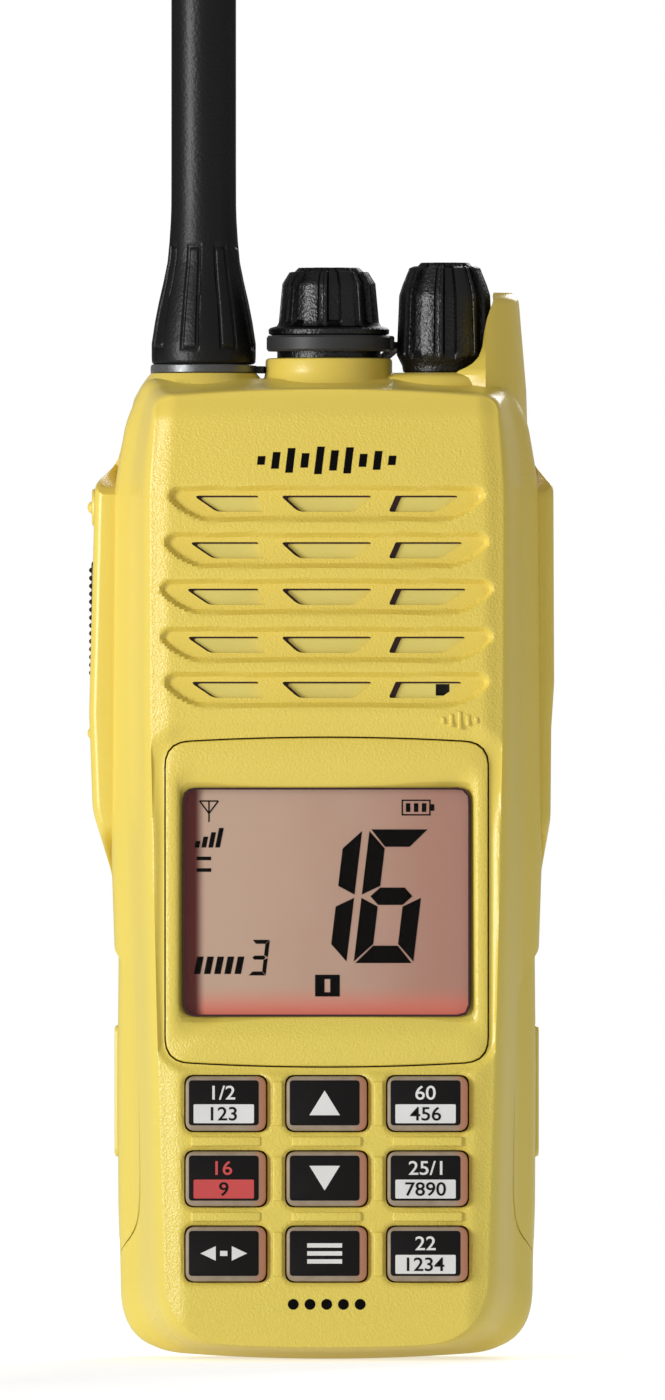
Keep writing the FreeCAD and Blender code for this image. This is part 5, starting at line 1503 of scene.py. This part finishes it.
def clip_tongue(low, high, columns=24, rows=90):
    """Sprung tongue, thicker along its middle, with a ridged thumb pad."""
    half = (high[0] - low[0]) / 2
    rings = []
    for z in np.linspace(low[2], high[2], rows):
        width = half * clip_width((z - low[2]) / (high[2] - low[2]))
        x = np.linspace(-width, width, columns)
        on_pad = smoothstep(113.0, 113.6, z) * smoothstep(118.4, 117.8, z) * (np.abs(x) < 0.8 * width)
        ridge = RIDGE_DEPTH * (math.sin(z * 2 * math.pi / RIDGE_PITCH) > 0) * on_pad
        level = np.full(columns, z)
        outer = np.stack([x, high[1] - 0.7 * (x / half) ** 2 + ridge - 0.25, level], axis=1)
        inner = np.stack([x[::-1], np.full(columns, high[1] - CLIP_THICK + 0.05), level], axis=1)
        rings.append(np.concatenate([outer, inner]))
    return loft(rings)


def belt_clip():
    """Tongue with a hooked foot and two hubs on its pin."""
    low, high = node_box("belt_clip")
    _, y, z = sum(node_box("clip_pin")) / 2
    clip = mesh_object("belt_clip_tongue", *clip_tongue(low, high), [BLACK_PLASTIC])
    foot = block((-6.4, low[1] + 0.2, low[2] + 1.4), (6.4, high[1] - 1.0, low[2] + 3.2), 0.5)
    hubs = [bar_along_x(x0, x1, y, z, 2.35) for x0, x1 in ((4.4, 7.9), (-7.9, -4.4))]
    combined(clip, [foot] + hubs, "UNION")
    combined(clip, [bar_along_x(-12, 12, y, z, 1.05)], "DIFFERENCE")
    placed(clip, "belt_clip", "clip_black", "belt_clip")


# ---------------------------------------------------------------- printed mark, carried CAD nodes

WAVE_HEIGHTS = (1.2, 2.3, 3.4, 2.0, 3.8, 2.8, 3.6, 1.8, 2.6, 1.3)
WAVE_PITCH, WAVE_STROKE, WAVE_Z = 2.0, 1.05, 122.75
DOT_XS, DOT_Z, DOT_RADIUS = (-4.6, -2.3, 0.0, 2.3, 4.6), 6.7, 0.75


def printed_tile(points):
    """A thin tile of ink that follows the front face."""
    loop = np.array(points, float)
    depth = face_depth(loop[:, 0], loop[:, 1])
    return loft([at_depth(loop, depth + 0.1), at_depth(loop, depth - 0.03)])


def printed_marks():
    """A generic voice-wave mark above the grille and a row of dots under the keys."""
    tiles = []
    for number, height in enumerate(WAVE_HEIGHTS):
        x = (number - (len(WAVE_HEIGHTS) - 1) / 2) * WAVE_PITCH
        tiles.append(printed_tile(slanted(corners_of(x, WAVE_Z, WAVE_STROKE / 2, height / 2), WAVE_Z)))
    tiles += [printed_tile(circle_loop(x, DOT_Z, DOT_RADIUS, 24)) for x in DOT_XS]
    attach(mesh_object("printed_marks", *joined(tiles), [INK]), "root")


NODE_MATERIALS = {
    STEEL: ("case_screws", "board_screws", "clip_screws", "clip_pin", "clip_spring", "latch_springs",
            "speaker_basket", "shield_cans", "volume_shaft", "battery_cells"),
    CAST_ALLOY: ("chassis",),
    BRASS: ("antenna_socket", "antenna_stud", "antenna_coil", "pack_contacts"),
    BOARD_GREEN: ("control_board", "main_board", "side_switch_board"),
    BLACK_PLASTIC: ("battery_terminals", "microphone", "accessory_jack", "lcd_frame", "volume_control",
                    "clip_base"),
    BLACK_RUBBER: ("case_gasket", "antenna_seal"),
    GREY_RUBBER: ("keypad_mat",),
    WHITE_PLASTIC: ("lcd_backlight", "dome_sheet"),
    SPEAKER_PAPER: ("speaker_cone",),
    CLEAR_WINDOW: ("lens",),
}


def dress_cad_nodes():
    """Procedural materials for the CAD nodes that are shown as they are."""
    for material, nodes in NODE_MATERIALS.items():
        for node in nodes:
            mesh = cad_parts[node].data
            mesh.materials.clear()
            mesh.materials.append(material)


# ---------------------------------------------------------------- stage

CAMERA_DISTANCE = 4.0
VIEW_HEIGHT = 0.1925
VIEW_CENTRE = (0.0008, 0.0898)
SENSOR = 36.0
FLOOR_RADIUS = 900.0


def floor():
    """Pale round floor under the object."""
    look = Look("pale_floor")
    tint = look.ramp(look.noise(8.0, 2.0), 0.3, 0.7, 0.90, 0.93)
    look.feed(tint, "Base Color", "Emission Color")
    look.feed(look.if_seen(0.6, 0.22), "Emission Strength")
    look.shader.inputs["Roughness"].default_value = 0.9
    look.shader.inputs["Specular IOR Level"].default_value = 0.1
    circle = at_depth(circle_loop(0.0, 0.0, FLOOR_RADIUS, 96), 0.0)[:, [0, 2, 1]]
    ground = mesh_object("floor", circle - (0, 0, FOOT_BOW + 0.05), [tuple(range(96))], [look.material])


def area_light(name, place, target, size, power):
    light = bpy.data.lights.new(name, "AREA")
    light.shape, light.size, light.size_y = "RECTANGLE", size[0], size[1]
    light.energy = power
    obj = bpy.data.objects.new(name, light)
    obj.location = place
    obj.rotation_euler = (Vector(target) - Vector(place)).to_track_quat("-Z", "Y").to_euler()
    obj.visible_camera = False
    bpy.context.scene.collection.objects.link(obj)


def studio():
    """White surround that lights only weakly, a broad soft light from the left and one from behind."""
    world = bpy.data.worlds.new("studio")
    world.use_nodes = True
    nodes, links = world.node_tree.nodes, world.node_tree.links
    background = nodes["Background"]
    background.inputs["Color"].default_value = (1.0, 1.0, 1.0, 1)
    background.inputs["Strength"].default_value = 1.0
    path = nodes.new("ShaderNodeLightPath")
    dim = nodes.new("ShaderNodeBackground")
    dim.inputs["Color"].default_value = (1.0, 0.99, 0.97, 1)
    dim.inputs["Strength"].default_value = 0.36
    mix = nodes.new("ShaderNodeMixShader")
    links.new(path.outputs["Is Camera Ray"], mix.inputs["Fac"])
    links.new(dim.outputs["Background"], mix.inputs[1])
    links.new(background.outputs["Background"], mix.inputs[2])
    links.new(mix.outputs["Shader"], nodes["World Output"].inputs["Surface"])
    bpy.context.scene.world = world
    middle = (0.0, 0.0, 0.08)
    area_light("key", (-1.50, -1.25, 0.22), middle, (0.6, 0.8), 27.5)
    area_light("back", (0.5, 1.7, 0.9), middle, (0.8, 0.8), 14.0)


def camera():
    data = bpy.data.cameras.new("camera")
    data.sensor_width = SENSOR
    data.lens = SENSOR * CAMERA_DISTANCE / VIEW_HEIGHT
    data.clip_start, data.clip_end = 0.01, 50.0
    obj = bpy.data.objects.new("camera", data)
    obj.location = (VIEW_CENTRE[0], FACE_Y * MM - CAMERA_DISTANCE, VIEW_CENTRE[1])
    obj.rotation_euler = (math.radians(90), 0, 0)
    bpy.context.scene.collection.objects.link(obj)
    bpy.context.scene.camera = obj
    bpy.context.scene.view_settings.view_transform = "Standard"


dress_cad_nodes()
front_shell()
grille_baffle()
grille_slot_shadow_sheet()
screen_bezel()
window_gasket()
lcd_panel()
lcd_symbols()
for number, (key_x, key_z) in enumerate(key_centres(), start=1):
    key_piece(number, key_x, key_z)
antenna_whip()
antenna_washer()
jack_cap()
cap_ring()
tether_strap()
volume_knob()
rear_shell()
ptt_button()
for key_node in SIDE_KEYS:
    side_key(key_node)
battery_case()
battery_cover()
for latch_node, latch_side in (("latch_right", 1), ("latch_left", -1)):
    latch(latch_node, latch_side)
belt_clip()
printed_marks()
floor()
studio()
camera()
